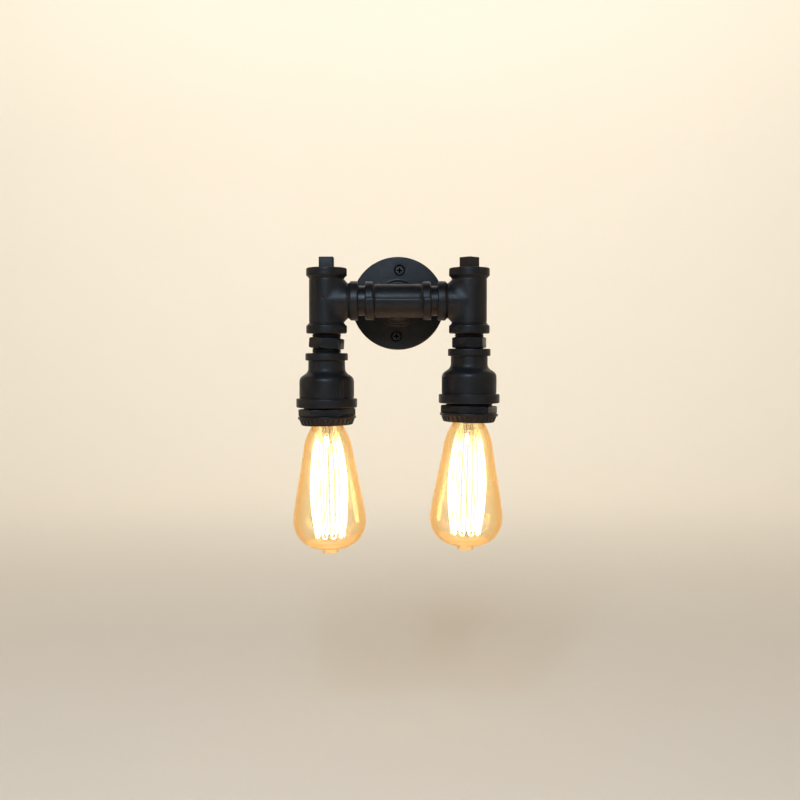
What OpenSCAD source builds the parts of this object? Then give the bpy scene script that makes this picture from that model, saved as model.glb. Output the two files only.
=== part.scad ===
// Twin pipe wall lamp: black iron pipe fittings carry two screw lampholders with cage filament bulbs.
// The origin is the centre of the wall flange's back face. +X is to the viewer's right and +Z is up
// as the lamp hangs, and the lamp stands out from the wall along -Y. All sizes are in millimetres.

/* [Wall flange] */
// Diameter of the round wall flange
flange_d = 84.6; // [80:0.2:110]
// Thickness of the flange's plate
flange_t = 6; // [5:0.1:8]
// Diameter of the threaded hub on the flange
hub_d = 38.8; // [34:0.1:42]
// Height of the hub's face above the wall
hub_h = 16; // [14:0.1:24]
// Fillet between the plate and the hub
hub_fillet = 3; // [1:0.1:4]
// Diameter of the circle through the two wall screws
screw_circle_d = 60; // [58:0.1:68]
// Turn of the two screws from upright, in degrees
screw_turn = 2.7; // [-12:0.1:12]

/* [Wall screws] */
// Diameter of the countersunk head
screw_head_d = 8.2; // [7:0.1:9]
// Diameter of the plain shank in the flange
screw_shank_d = 4.6; // [4.2:0.1:5]
// Diameter of the threaded length that stands in the wall
screw_thread_d = 4; // [3:0.1:4.2]
// Length of thread behind the flange
screw_reach = 24; // [12:0.5:50]
// Clearance round the shank in its hole
screw_clear = 0.3; // [0.2:0.05:0.5]
// Depth of the head below the flange's face
screw_sink = 0.6; // [0.2:0.1:1.2]

/* [Pipe threads] */
// Outside diameter of the small pipe thread
pipe_d = 26.2; // [25:0.1:26.6]
// Bore of the small nipples
pipe_bore_d = 21.4; // [16:0.1:22]
// Length of small thread that screws into a fitting
pipe_grip = 12; // [8:0.5:13]
// Diameter of the clear way through a small fitting
way_d = 22.4; // [21:0.1:23]
// Radial clearance of a tight thread
thread_clear = 0.1; // [0.05:0.01:0.2]
// Radial clearance where an arm swivels on its nipple
swivel_clear = 0.05; // [0.02:0.01:0.09]

/* [Tees] */
// Length of the centre tee's run
centre_run_l = 57.2; // [54:0.2:90]
// Reach of the centre tee's branch from its axis
centre_branch_l = 28.5; // [27:0.1:40]
// Diameter of the centre tee's body
centre_body_d = 29.5; // [28.5:0.1:31]
// Diameter of the centre tee's end bands
centre_band_d = 33.7; // [32:0.1:37]
// Length of an outer tee's run
outer_run_l = 57; // [54:0.2:80]
// Reach of an outer tee's branch from its axis
outer_branch_l = 27.9; // [27:0.1:40]
// Diameter of an outer tee's body
outer_body_d = 30.6; // [29:0.1:32]
// Diameter of an outer tee's run bands
outer_band_d = 35.5; // [33:0.1:38]
// Diameter of an outer tee's branch band
branch_band_d = 34.4; // [33:0.1:37]
// Width of the bands
band_w = 7.4; // [5:0.1:9]
// Rounding of the bands' edges
band_round = 1; // [0.4:0.1:1.4]
// Radius of the crotch between run and branch
crotch_r = 6; // [4:0.1:8]
// Bare nipple between the flange's hub and the centre tee
flange_show = 3.5; // [1:0.1:12]
// Bare nipple between the centre tee and an outer tee
side_show = 5.8; // [2:0.1:40]

/* [Plugs] */
// Width across the plug's square head
plug_square = 12.8; // [10:0.1:16]
// Width across the plug's rounded corners
plug_corner = 17.2; // [16.4:0.1:18]
// Height of the square head above the tee
plug_head_h = 9.5; // [6:0.1:14]

/* [Hex nipples] */
// Width across the flats of the hexagon
nipple_af = 27; // [26.4:0.1:30]
// Height of the hexagon
nipple_hex_h = 9.2; // [7:0.1:12]
// Diameter of the relieved neck beside the hexagon
nipple_neck_d = 24.2; // [23:0.1:25]
// Bore of the hex nipple
nipple_bore_d = 17; // [12:0.1:19]
// Turn of the hexagon seen from above, in degrees
nipple_turn = 13; // [0:1:60]
// Tilt of the left hexagon on its thread, in degrees
left_hex_tilt = 3.5; // [0:0.1:4]
// Thread showing above the left hexagon
left_above = 3.9; // [1.5:0.1:6]
// Thread showing above the right hexagon
right_above = 3.3; // [1.5:0.1:6]
// Thread showing below the left hexagon
left_below = 4.0; // [1.5:0.1:6]
// Thread showing below the right hexagon
right_below = 0.7; // [0.5:0.1:6]

/* [Bells] */
// Length of the bell reducer
bell_l = 47.5; // [44:0.1:60]
// Diameter of the bell's neck
bell_neck_d = 32.2; // [31:0.1:34]
// Diameter of the band at the top of the neck
bell_top_band_d = 37.2; // [35:0.1:40]
// Width of the neck's band
bell_top_band_w = 6.7; // [5:0.1:8]
// Diameter of the bell's body
bell_body_d = 47.8; // [47:0.1:50]
// Diameter of the band at the bell's mouth
bell_band_d = 53.2; // [51:0.1:57]
// Width of the mouth band
bell_band_w = 8.2; // [6:0.1:10]
// Height of the shoulder's foot above the mouth
shoulder_low = 22.5; // [20:0.1:25]
// Height of the shoulder's top above the mouth
shoulder_high = 34.5; // [31:0.1:36]
// Bore of the bell's large thread
bell_thread_d = 42.8; // [42.4:0.1:43.4]
// Depth of the bell's large thread
bell_thread_l = 18; // [15:0.1:20]
// Bore of the chamber above the large thread
bell_chamber_d = 41; // [40.4:0.1:41.6]
// Width of the cast ribs on the bell
rib_w = 5; // [3:0.1:7]
// Width over the bell's two ribs
rib_span = 52; // [49:0.1:53]
// Direction of the left bell's ribs from the front, in degrees
left_rib = 32; // [0:1:90]
// Direction of the right bell's ribs from the front, in degrees
right_rib = -65; // [-90:1:0]

/* [Lampholders] */
// Lean of each lampholder towards the middle, in degrees
holder_lean = 1.4; // [0:0.1:1.5]
// Thread showing between the left bell and its bushing
left_gap = 1.0; // [0.8:0.1:3]
// Thread showing between the right bell and its bushing
right_gap = 2.1; // [0.8:0.1:3]
// Height of the bushing's hexagon
bush_hex_h = 6.5; // [5:0.1:9]
// Turn of the right bushing's hexagon, in degrees
right_bush_turn = 7; // [0:1:60]
// Diameter of the bushing's thread
bush_thread_d = 41.7; // [41:0.1:42]
// Length of the bushing's thread
bush_thread_l = 13; // [8:0.1:14]
// Outside diameter of the lampholder's skirt and cap
skirt_d = 37.8; // [37:0.1:38.4]
// Wall of the skirt and cap
skirt_wall = 2.5; // [1.5:0.1:2.8]
// Clearance between the skirt and the bushing
skirt_clear = 0.1; // [0.05:0.01:0.3]
// Height of the joint between skirt and cap, above the hexagon's top
cap_joint_h = 12; // [8:0.1:15]
// Height of the cap's top, above the hexagon's top
cap_top_h = 31; // [30:0.1:32]
// Diameter of the cable hole in the cap
cap_hole_d = 7.4; // [7.2:0.1:9]
// Wall of the brass screw shell
shell_wall = 0.4; // [0.3:0.05:0.7]
// Radial clearance between the bulb's cap and the screw shell
shell_clear = 0.3; // [0.2:0.05:0.5]
// Length of the screw shell
shell_l = 22.5; // [16:0.1:24]
// Height of the ceramic contact block
block_h = 7; // [5:0.1:8]
// Gap that the sprung centre contact closes
contact_gap = 0.3; // [0.2:0.05:0.6]
// Diameter of a terminal screw's head
terminal_head_d = 5.5; // [4:0.1:6]
// Distance between the two terminal screws
terminal_pitch = 18; // [14:0.1:20]

/* [Shade rings] */
// Diameter of the ring's thin rim
ring_rim_d = 50.8; // [48:0.1:60]
// Distance from the rim's edge in to the corners of the bushing's hexagon
rim_past = 0.4; // [0:0.1:2]
// Thickness of the rim
ring_rim_h = 2.4; // [1.5:0.1:4]
// Diameter at the top of the ribbed skirt
ring_top_d = 47.6; // [45:0.1:50]
// Diameter at the foot of the ribbed skirt
ring_foot_d = 43.4; // [42:0.1:46]
// Height of the ribbed skirt
ring_skirt_h = 5.5; // [4:0.1:9]
// Clearance between the ring and the lampholder's skirt
ring_clear = 0.3; // [0.2:0.05:0.5]
// Number of ribs round the ring
ring_ribs = 30; // [12:1:40]
// Width of one rib
ring_rib_w = 1.8; // [1:0.1:2.2]
// Height of a rib above the skirt
ring_rib_h = 0.5; // [0.2:0.05:0.8]
// Distance from the lampholder's mouth to the ring's foot
ring_over = 1; // [0.5:0.1:3]

/* [Bulbs] */
// Largest diameter of the glass
bulb_d = 64; // [60:0.5:70]
// Length of the glass below its cap
bulb_l = 113.2; // [108:0.2:120]
// Thickness of the glass
glass_t = 0.8; // [0.6:0.1:1.5]
// Diameter of the glass at its shoulder
glass_shoulder_d = 43.4; // [38:0.1:50]
// Distance from the cap's rim to the glass's shoulder
glass_shoulder_at = 22.5; // [16:0.1:30]
// Distance from the cap's rim to the glass's widest place
glass_widest_at = 83.8; // [70:0.1:92]
// Diameter of the nub at the end of the glass
nub_d = 15; // [10:0.1:20]
// Height of the nub
nub_h = 3.4; // [2:0.1:5]
// Rounding of the nub's edge
nub_round = 1.9; // [1:0.1:2.4]
// Diameter of the bulb's screw cap
cap_d = 26.3; // [25.8:0.1:26.5]
// Thickness of the cap's brass
cap_t = 0.4; // [0.3:0.05:0.6]
// Overall height of the screw cap and its contact
cap_h = 27; // [25:0.1:28]
// Height of the black glass in the cap's end
insulator_h = 2.8; // [2:0.1:4]
// Diameter of the centre contact
contact_d = 9.6; // [7:0.1:11]
// Height of the centre contact
contact_h = 1.6; // [1:0.1:2]

/* [Filament] */
// Number of upright strands in the cage
strands = 20; // [12:2:24]
// Thickness of the filament
filament_d = 0.5; // [0.3:0.05:0.9]
// Radius of the cage at its top
cage_top_r = 10; // [8:0.1:11]
// Radius that the cage bulges towards
cage_bulge_r = 21; // [14:0.1:23]
// Radius of the cage at its foot
cage_foot_r = 12.5; // [10:0.1:14]
// Distance from the cap's rim to the top of the cage
cage_top_at = 9; // [8:0.1:14]
// Distance from the end of the glass to the foot of the cage
cage_foot_up = 16.2; // [14:0.1:24]
// Diameter of the glass stem
stem_d = 9.6; // [8:0.1:10]
// Diameter of the glass rod in the cage
rod_d = 2.8; // [2:0.1:4]
// Diameter of the beads that hold the support wires
bead_d = 4.8; // [4.2:0.1:5.4]
// Thickness of the support wires
support_d = 0.4; // [0.3:0.05:0.6]

/* [Wiring] */
// Diameter of the sheathed flex inside the pipes
flex_d = 5; // [4:0.1:6]
// Bend radius of the flex in an outer tee
flex_bend = 18; // [14:0.5:19]
// Diameter of one insulated core
core_d = 2; // [1.4:0.1:2.4]
// Length of the splice block in the centre tee
splice_l = 16; // [12:0.5:24]
// Height and depth of the splice block
splice_w = 11; // [9:0.1:13]

/* [Hidden] */
$fn = 72;

LEFT = -1;
RIGHT = 1;
iron = "#26282c";
iron_dark = "#1d1f22";
steel = "#8b8d90";
brass = "#c9a24a";
bakelite = "#1b1614";
ceramic = "#e9e4d8";
rubber = "#2f3133";
amber_glass = "#e8a23c";
clear_glass = "#e9edf0";
glow = "#ffd27a";

// A cut runs past the faces that it opens by this much
past = 1;

// The pipe run's distance from the wall, and the arms' distance from the middle
axis_y = -(hub_h + flange_show + centre_branch_l);
arm_x = centre_run_l / 2 + side_show + outer_branch_l;
pipe_r = pipe_d / 2;
grip_bore_r = pipe_r + thread_clear;

function pick(side, left_value, right_value) = side == LEFT ? left_value : right_value;

// Heights of each arm's pieces below the pipe axis
function hex_top(side) = -outer_run_l / 2 - pick(side, left_above, right_above);
function bell_top(side) = hex_top(side) - nipple_hex_h - pick(side, left_below, right_below);
function bell_mouth(side) = bell_top(side) - bell_l;
function holder_z(side) = bell_mouth(side) - pick(side, left_gap, right_gap);

// The bushing's width across flats, and heights inside a lampholder from its hexagon's top
bush_af = (ring_rim_d - 2 * rim_past) * cos(30);
ring_top = -bush_hex_h;
ring_foot = ring_top - ring_rim_h - ring_skirt_h;
skirt_foot = ring_foot + ring_over;
bulb_rim = skirt_foot - ring_over / 2;
contact_tip = bulb_rim + cap_h;
block_foot = contact_tip + contact_gap + contact_h / 2;
skirt_r = skirt_d / 2;
skirt_bore_r = skirt_r - skirt_wall;
shell_bore_r = cap_d / 2 + shell_clear;
shell_top = block_foot;
block_r = skirt_bore_r - skirt_clear;
flex_end = block_foot + block_h + 4;

// Turns the children's own axis along the wall's normal, or inwards along the pipe run
module to_wall() rotate([-90, 0, 0]) children();
module inwards() rotate([0, 90, 0]) children();

// Places children, drawn about the outer tee with its branch towards +X, on one arm
module on_arm(side) {
    translate([side * arm_x, axis_y, 0]) rotate([0, 0, side == LEFT ? 0 : 180]) children();
}

// Places children, drawn about the bushing's hexagon top, on one arm's leaning lampholder
module on_holder(side) {
    on_arm(side) translate([0, 0, holder_z(side)]) rotate([0, -holder_lean, 0]) children();
}

// Points on an arc, and on a cubic curve, for turned outlines
function arc(centre, r, from, to, steps = 5) =
    [for (i = [0:steps]) let (a = from + (to - from) * i / steps) centre + r * [cos(a), sin(a)]];
function curve(a, b, c, d, steps = 12) =
    [for (i = [0:steps]) let (t = i / steps, u = 1 - t)
        u * u * u * a + 3 * u * u * t * b + 3 * u * t * t * c + t * t * t * d];

// A round band with rounded edges, standing on the origin
module band(d, w) {
    r = d / 2;
    k = band_round;
    rotate_extrude() polygon(concat(
        [[0, 0]], arc([r - k, k], k, -90, 0), arc([r - k, w - k], k, 0, 90), [[0, w]]));
}

// A band at a pipe end that tapers into the body behind it. The end face is at height 0
module end_band(d, body_d) {
    taper = (d - body_d) / 2;
    translate([0, 0, -band_w]) band(d, band_w);
    translate([0, 0, -band_w - taper]) cylinder(d1 = body_d, d2 = d - 2 * band_round, h = taper + band_round);
}

// A threaded socket and the way behind it, cut from a pipe end that faces up at height 0
module socket_cut(bore_r, reach) {
    translate([0, 0, -pipe_grip - past]) cylinder(r = bore_r, h = pipe_grip + 2 * past);
    translate([0, 0, -reach]) cylinder(d = way_d, h = reach);
}

// One quarter of a bent pipe that rounds the crotch between a run along Z and a branch along +X
module crotch(body_d) {
    bend = body_d / 2 + crotch_r;
    translate([bend, 0, bend]) rotate([90, 0, 0]) rotate([0, 0, 180])
        rotate_extrude(angle = 90) translate([bend, 0]) circle(d = body_d - 0.5);
}

// A tee with its run along Z and its branch towards +X
module tee(run_l, branch_l, body_d, run_band_d, side_band_d, run_bore_r, side_bore_r) {
    difference() {
        union() {
            cylinder(d = body_d, h = run_l - 2 * band_round, center = true);
            inwards() cylinder(d = body_d, h = branch_l - band_round);
            for (flip = [0, 1]) mirror([0, 0, flip]) {
                crotch(body_d);
                translate([0, 0, run_l / 2]) end_band(run_band_d, body_d);
            }
            translate([branch_l, 0, 0]) inwards() end_band(side_band_d, body_d);
        }
        for (flip = [0, 1]) mirror([0, 0, flip])
            translate([0, 0, run_l / 2]) socket_cut(run_bore_r, run_l / 2 + past);
        translate([branch_l, 0, 0]) inwards() socket_cut(side_bore_r, branch_l);
    }
}

// A bored length of threaded pipe, centred on the origin along Z
module close_nipple(show) {
    l = show + 2 * pipe_grip;
    chamfer = 1;
    rotate_extrude() polygon([
        [pipe_bore_d / 2, -l / 2], [pipe_r - chamfer, -l / 2], [pipe_r, -l / 2 + chamfer],
        [pipe_r, l / 2 - chamfer], [pipe_r - chamfer, l / 2], [pipe_bore_d / 2, l / 2]]);
}

// Directions from the flange's centre to the two screws
function screw_place(i) = let (a = 90 - screw_turn + 180 * i)
    [cos(a) * screw_circle_d / 2, 0, sin(a) * screw_circle_d / 2];
sink_d = screw_head_d + 2;
head_h = (screw_head_d - screw_shank_d) / 2;

module wall_flange() {
    edge = 1.2;
    r = flange_d / 2;
    hub_r = hub_d / 2;
    color(iron) difference() {
        to_wall() rotate_extrude() polygon(concat(
            [[0, 0], [r, 0]],
            arc([r - edge, -flange_t + edge], edge, 0, -90),
            arc([hub_r + hub_fillet, -flange_t - hub_fillet], hub_fillet, 90, 180),
            arc([hub_r - band_round, -hub_h + band_round], band_round, 0, -90),
            [[0, -hub_h]]));
        to_wall() translate([0, 0, -hub_h - past]) cylinder(r = grip_bore_r, h = hub_h + 2 * past);
        for (i = [0, 1]) translate(screw_place(i)) to_wall() {
            translate([0, 0, -flange_t - past])
                cylinder(d = screw_shank_d + 2 * screw_clear, h = flange_t + 2 * past);
            translate([0, 0, -flange_t - past]) cylinder(d = sink_d, h = screw_sink + past);
            translate([0, 0, -flange_t + screw_sink - 0.01])
                cylinder(d1 = screw_head_d + 2 * screw_clear, d2 = screw_shank_d + 2 * screw_clear,
                    h = head_h);
        }
    }
}

module wall_screws() {
    drive_w = 0.9;
    drive_l = 4.4;
    drive_h = 1.6;
    point = 5;
    head_at = -flange_t + screw_sink;
    color(steel) for (i = [0, 1]) translate(screw_place(i)) to_wall() difference() {
        union() {
            translate([0, 0, head_at]) cylinder(d1 = screw_head_d, d2 = screw_shank_d, h = head_h);
            translate([0, 0, head_at]) cylinder(d = screw_shank_d, h = -head_at);
            cylinder(d = screw_thread_d, h = screw_reach - point);
            translate([0, 0, screw_reach - point]) cylinder(d1 = screw_thread_d, d2 = 0.6, h = point);
        }
        for (turn = [0, 90]) rotate([0, 0, turn + 20]) translate([0, 0, head_at])
            cube([drive_l, drive_w, 2 * drive_h], center = true);
    }
}

module flange_nipple() {
    color(iron_dark) translate([0, -hub_h - flange_show / 2, 0]) to_wall() close_nipple(flange_show);
}

// The centre tee lies with its run along X and its branch to the wall
module centre_tee() {
    color(iron) translate([0, axis_y, 0]) rotate([90, 0, 90])
        tee(centre_run_l, centre_branch_l, centre_body_d, centre_band_d, centre_band_d,
            grip_bore_r, grip_bore_r);
}

// The splice block sits where the run meets the branch. Its two wire holes face the wall
splice_pitch = splice_w / 2;
splice_screw_d = 3;
splice_screw_l = 2.6;
splice_screw_foot = splice_w / 2 - 3.4;
module splice_block() {
    wire_hole_d = core_d + 0.8;
    wire_hole_l = 5;
    screw_hole_foot = splice_screw_foot - 0.1;
    screw_hole_l = splice_w / 2 - screw_hole_foot;
    color(ceramic) translate([0, axis_y, 0]) difference() {
        cube([splice_l, splice_w, splice_w], center = true);
        for (s = [-1, 1]) translate([s * splice_pitch / 2, 0, 0]) {
            to_wall() translate([0, 0, splice_w / 2 - wire_hole_l])
                cylinder(d = wire_hole_d, h = wire_hole_l + past, $fn = 24);
            translate([0, 0, screw_hole_foot])
                cylinder(d = splice_screw_d + 0.2, h = screw_hole_l + past, $fn = 24);
        }
    }
}

module splice_screws() {
    slot_w = 0.6;
    color(brass) for (s = [-1, 1]) translate([s * splice_pitch / 2, axis_y, splice_screw_foot])
        difference() {
            cylinder(d = splice_screw_d, h = splice_screw_l, $fn = 24);
            translate([0, 0, splice_screw_l])
                cube([splice_screw_d + past, slot_w, 2 * slot_w], center = true);
        }
}

module side_nipple(side) {
    color(iron_dark) translate([side * (centre_run_l + side_show) / 2, axis_y, 0])
        inwards() close_nipple(side_show);
}

// Flex on the swivel's own axis, from the splice block to the end of the outer tee's branch
module pipe_flex(side) {
    from = splice_l / 2;
    to = arm_x - outer_branch_l;
    color(rubber) translate([side * from, axis_y, 0]) rotate([0, side * 90, 0])
        cylinder(d = flex_d, h = to - from, $fn = 32);
}

// From the branch's end the flex bends down the arm and ends inside the lampholder's cap
module arm_flex(side) {
    foot = holder_z(side) + flex_end;
    color(rubber) on_arm(side) {
        translate([flex_bend, 0, 0]) inwards() cylinder(d = flex_d, h = outer_branch_l - flex_bend, $fn = 32);
        translate([flex_bend, 0, -flex_bend]) rotate([90, 0, 0]) rotate([0, 0, 90])
            rotate_extrude(angle = 90) translate([flex_bend, 0]) circle(d = flex_d, $fn = 32);
        translate([0, 0, foot]) cylinder(d = flex_d, h = -flex_bend - foot, $fn = 32);
    }
}

module outer_tee(side) {
    color(iron) on_arm(side)
        tee(outer_run_l, outer_branch_l, outer_body_d, outer_band_d, branch_band_d,
            grip_bore_r, pipe_r + swivel_clear);
}

module plug(side) {
    chamfer = 0.8;
    r = plug_corner / 2;
    color(iron_dark) on_arm(side) translate([0, 0, outer_run_l / 2]) {
        translate([0, 0, -pipe_grip]) cylinder(r = pipe_r, h = pipe_grip);
        rotate([0, 0, pick(side, 0, 45)]) intersection() {
            translate([-plug_square / 2, -plug_square / 2, -past])
                cube([plug_square, plug_square, plug_head_h + past]);
            rotate_extrude() polygon([[0, -past], [r, -past], [r, plug_head_h - chamfer],
                [r - 2 * chamfer, plug_head_h], [0, plug_head_h]]);
        }
    }
}

module hex_nipple(side) {
    top = hex_top(side);
    above = pick(side, left_above, right_above);
    below = pick(side, left_below, right_below);
    neck_r = nipple_neck_d / 2;
    chamfer = 1;
    top_end = above + pipe_grip;
    low_end = -nipple_hex_h - below - pipe_grip;
    tilt = pick(side, left_hex_tilt, 0);
    color(iron_dark) on_arm(side) translate([0, 0, top]) difference() {
        union() {
            rotate_extrude() polygon([
                [0, low_end], [pipe_r - chamfer, low_end], [pipe_r, low_end + chamfer],
                [pipe_r, low_end + pipe_grip - 1], [neck_r, low_end + pipe_grip],
                [neck_r, above], [pipe_r, above + 1], [pipe_r, top_end - chamfer],
                [pipe_r - chamfer, top_end], [0, top_end]]);
            translate([0, 0, -nipple_hex_h / 2]) rotate([0, tilt, nipple_turn])
                hexagon(nipple_af, nipple_hex_h, 0.8);
        }
        translate([0, 0, low_end - past])
            cylinder(d = nipple_bore_d, h = top_end - low_end + 2 * past);
    }
}

// A hexagon with its corners turned off at both ends, centred on the origin
module hexagon(af, h, trim) {
    corner_r = af / sqrt(3);
    intersection() {
        cylinder(r = corner_r, h = h, center = true, $fn = 6);
        rotate_extrude() polygon([
            [0, -h / 2], [corner_r - 2 * trim, -h / 2], [corner_r, -h / 2 + trim],
            [corner_r, h / 2 - trim], [corner_r - 2 * trim, h / 2], [0, h / 2]]);
    }
}

// The bell is drawn from its mouth up
module bell(side) {
    neck_r = bell_neck_d / 2;
    body_r = bell_body_d / 2;
    chamber_r = bell_chamber_d / 2;
    k = band_round;
    band_r = bell_band_d / 2;
    top_r = bell_top_band_d / 2;
    bend = (shoulder_high - shoulder_low) * 0.58;
    wall = body_r - chamber_r;
    way_r = way_d / 2;
    rib_turn = pick(side, left_rib, right_rib) - 90;
    color(iron) on_arm(side) translate([0, 0, bell_mouth(side)]) difference() {
        union() {
            rotate_extrude() polygon(concat(
                [[0, 0]],
                arc([band_r - k, k], k, -90, 0),
                arc([band_r - k, bell_band_w - k], k, 0, 90),
                [[body_r, bell_band_w]],
                curve([body_r, shoulder_low], [body_r, shoulder_low + bend],
                    [neck_r, shoulder_high - bend], [neck_r, shoulder_high]),
                [[neck_r, bell_l - bell_top_band_w]],
                arc([top_r - k, bell_l - bell_top_band_w + k], k, -90, 0),
                arc([top_r - k, bell_l - k], k, 0, 90),
                [[0, bell_l]]));
            rotate([0, 0, rib_turn]) translate([0, 0, shoulder_low / 2 + 1]) intersection() {
                cube([rib_span, rib_w, shoulder_low + 2 - 2 * k], center = true);
                cylinder(d = rib_span, h = shoulder_low + 2 - 2 * k, center = true);
            }
        }
        translate([0, 0, -past]) cylinder(d = bell_thread_d, h = bell_thread_l + past);
        rotate_extrude() polygon([
            [0, bell_thread_l - past], [chamber_r, bell_thread_l - past],
            [chamber_r, shoulder_low + wall], [way_r, shoulder_high],
            [way_r, bell_l - pipe_grip], [0, bell_l - pipe_grip]]);
        translate([0, 0, bell_l - pipe_grip - past]) cylinder(r = grip_bore_r, h = pipe_grip + 2 * past);
    }
}

module bushing(side) {
    turn = pick(side, 0, right_bush_turn);
    bore_r = skirt_r + skirt_clear;
    thread_r = bush_thread_d / 2;
    color(iron_dark) on_holder(side) difference() {
        union() {
            translate([0, 0, -bush_hex_h / 2]) rotate([0, 0, turn]) hexagon(bush_af, bush_hex_h, 0.7);
            rotate_extrude() polygon([[0, -past], [thread_r, -past], [thread_r, bush_thread_l - 1],
                [thread_r - 1, bush_thread_l], [0, bush_thread_l]]);
        }
        translate([0, 0, -bush_hex_h - past])
            cylinder(r = bore_r, h = bush_hex_h + bush_thread_l + 2 * past);
    }
}

module holder_skirt(side) {
    color(bakelite) on_holder(side) rotate_extrude() polygon([
        [skirt_bore_r, skirt_foot], [skirt_r - 0.6, skirt_foot], [skirt_r, skirt_foot + 0.6],
        [skirt_r, cap_joint_h], [skirt_bore_r, cap_joint_h]]);
}

// The cap is a thimble that closes the lampholder above the contact block
module holder_cap(side) {
    dome = cap_top_h - (block_foot + block_h);
    lip_r = skirt_r - dome;
    hole_r = cap_hole_d / 2;
    in_top = cap_top_h - skirt_wall;
    in_dome = in_top - (block_foot + block_h);
    color(bakelite) on_holder(side) rotate_extrude() polygon(concat(
        [[skirt_bore_r, cap_joint_h], [skirt_r, cap_joint_h]],
        arc([lip_r, cap_top_h - dome], dome, 0, 90, 8),
        [[hole_r, cap_top_h], [hole_r, in_top]],
        arc([skirt_bore_r - in_dome, in_top - in_dome], in_dome, 90, 0, 8)));
}

rivet_r = 1.5;
terminal_shank_d = 3;
terminal_shank_l = 3.8;
module contact_block(side) {
    hole_l = terminal_shank_l + 0.2;
    color(ceramic) on_holder(side) translate([0, 0, block_foot]) difference() {
        cylinder(r = block_r, h = block_h);
        translate([0, 0, -past]) cylinder(r = rivet_r + 0.1, h = block_h + 2 * past, $fn = 32);
        for (s = [-1, 1]) translate([s * terminal_pitch / 2, 0, block_h - hole_l])
            cylinder(d = terminal_shank_d + 0.2, h = hole_l + past, $fn = 32);
    }
}

// The centre contact is a sprung disc on a rivet through the contact block
module centre_contact(side) {
    disc_r = 4.6;
    disc_h = block_foot - contact_tip - contact_gap;
    rivet_head_r = 2.6;
    rivet_head_h = 0.8;
    color(brass) on_holder(side) {
        translate([0, 0, block_foot - disc_h]) cylinder(r = disc_r, h = disc_h);
        translate([0, 0, block_foot]) cylinder(r = rivet_r, h = block_h, $fn = 32);
        translate([0, 0, block_foot + block_h]) cylinder(r = rivet_head_r, h = rivet_head_h, $fn = 32);
    }
}

module terminal_screws(side) {
    head_h = 2;
    slot_w = 0.8;
    color(brass) on_holder(side)
        for (s = [-1, 1]) translate([s * terminal_pitch / 2, 0, block_foot + block_h]) difference() {
            union() {
                translate([0, 0, -terminal_shank_l])
                    cylinder(d = terminal_shank_d, h = terminal_shank_l, $fn = 32);
                cylinder(d = terminal_head_d, h = head_h, $fn = 32);
            }
            translate([0, 0, head_h]) cube([terminal_head_d + past, slot_w, 2 * slot_w], center = true);
        }
}

// Two cores leave the flex's end and reach the two terminal screws
module flex_cores(side) {
    start = flex_end - 0.1;
    foot = block_foot + block_h + core_d / 2 + 0.2;
    reach = terminal_pitch / 2 - terminal_head_d / 2 - core_d / 2 - 0.6;
    out = core_d / 2 + 0.1;
    drop = start - core_d / 2 - foot;
    color(rubber) on_holder(side) for (s = [-1, 1]) {
        slope = atan2(reach - out, drop);
        translate([s * out, 0, foot + drop]) rotate([0, s * (180 - slope), 0])
            cylinder(d = core_d, h = norm([reach - out, drop]), $fn = 24);
    }
}

// The threaded brass shell hangs from the contact block and takes the bulb's cap
module screw_shell(side) {
    r = shell_bore_r + shell_wall;
    flange_hole_r = 6.6;
    color(brass) on_holder(side) rotate_extrude() polygon([
        [shell_bore_r, shell_top - shell_l], [r, shell_top - shell_l], [r, shell_top],
        [flange_hole_r, shell_top], [flange_hole_r, shell_top - shell_wall],
        [shell_bore_r, shell_top - shell_wall]]);
}

module shade_ring(side) {
    bore_r = skirt_r + ring_clear;
    skirt_top = ring_top - ring_rim_h;
    slope = atan2((ring_top_d - ring_foot_d) / 2, ring_skirt_h);
    mid_r = (ring_top_d + ring_foot_d) / 4;
    edge = 0.5;
    rim_r = ring_rim_d / 2;
    color(bakelite) on_holder(side) {
        rotate_extrude() polygon([
            [bore_r, ring_foot], [ring_foot_d / 2 - edge, ring_foot], [ring_foot_d / 2, ring_foot + edge],
            [ring_top_d / 2, skirt_top], [rim_r - edge, skirt_top], [rim_r, skirt_top + edge],
            [rim_r, ring_top - edge], [rim_r - edge, ring_top], [bore_r, ring_top]]);
        for (i = [0:ring_ribs - 1]) rotate([0, 0, 360 * i / ring_ribs])
            translate([mid_r, 0, ring_foot + ring_skirt_h / 2]) rotate([0, slope, 0])
                cube([2 * ring_rib_h, ring_rib_w, ring_skirt_h - edge], center = true);
    }
}

// The glass follows three curves: neck and shoulder, long flank, and round end with its nub
glass_neck_r = cap_d / 2 - cap_t - 0.15;
function between(a, b, across, down) = [a[0] + (b[0] - a[0]) * across, a[1] + (b[1] - a[1]) * down];
function glass_outline() = let (
        z = bulb_rim, n = glass_neck_r, top = [n + 0.2, z - 0.2],
        shoulder = [glass_shoulder_d / 2, z - glass_shoulder_at],
        widest = [bulb_d / 2, z - glass_widest_at], nub = [nub_d / 2, z - bulb_l + nub_h])
    concat(
        [[n, z + 5], [n, z + 0.2]],
        curve(top, between(top, shoulder, 0.27, 0.148), between(top, shoulder, 0.791, 0.462), shoulder, 10),
        curve(shoulder, between(shoulder, widest, 0.205, 0.253), between(shoulder, widest, 0.932, 0.791),
            widest, 12),
        curve(widest, between(widest, nub, 0, 0.431), between(widest, nub, 0.245, 0.912), nub, 12),
        arc([nub[0] - nub_round, z - bulb_l + nub_round], nub_round, 20, -60, 4),
        [[0, z - bulb_l]]);
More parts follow.
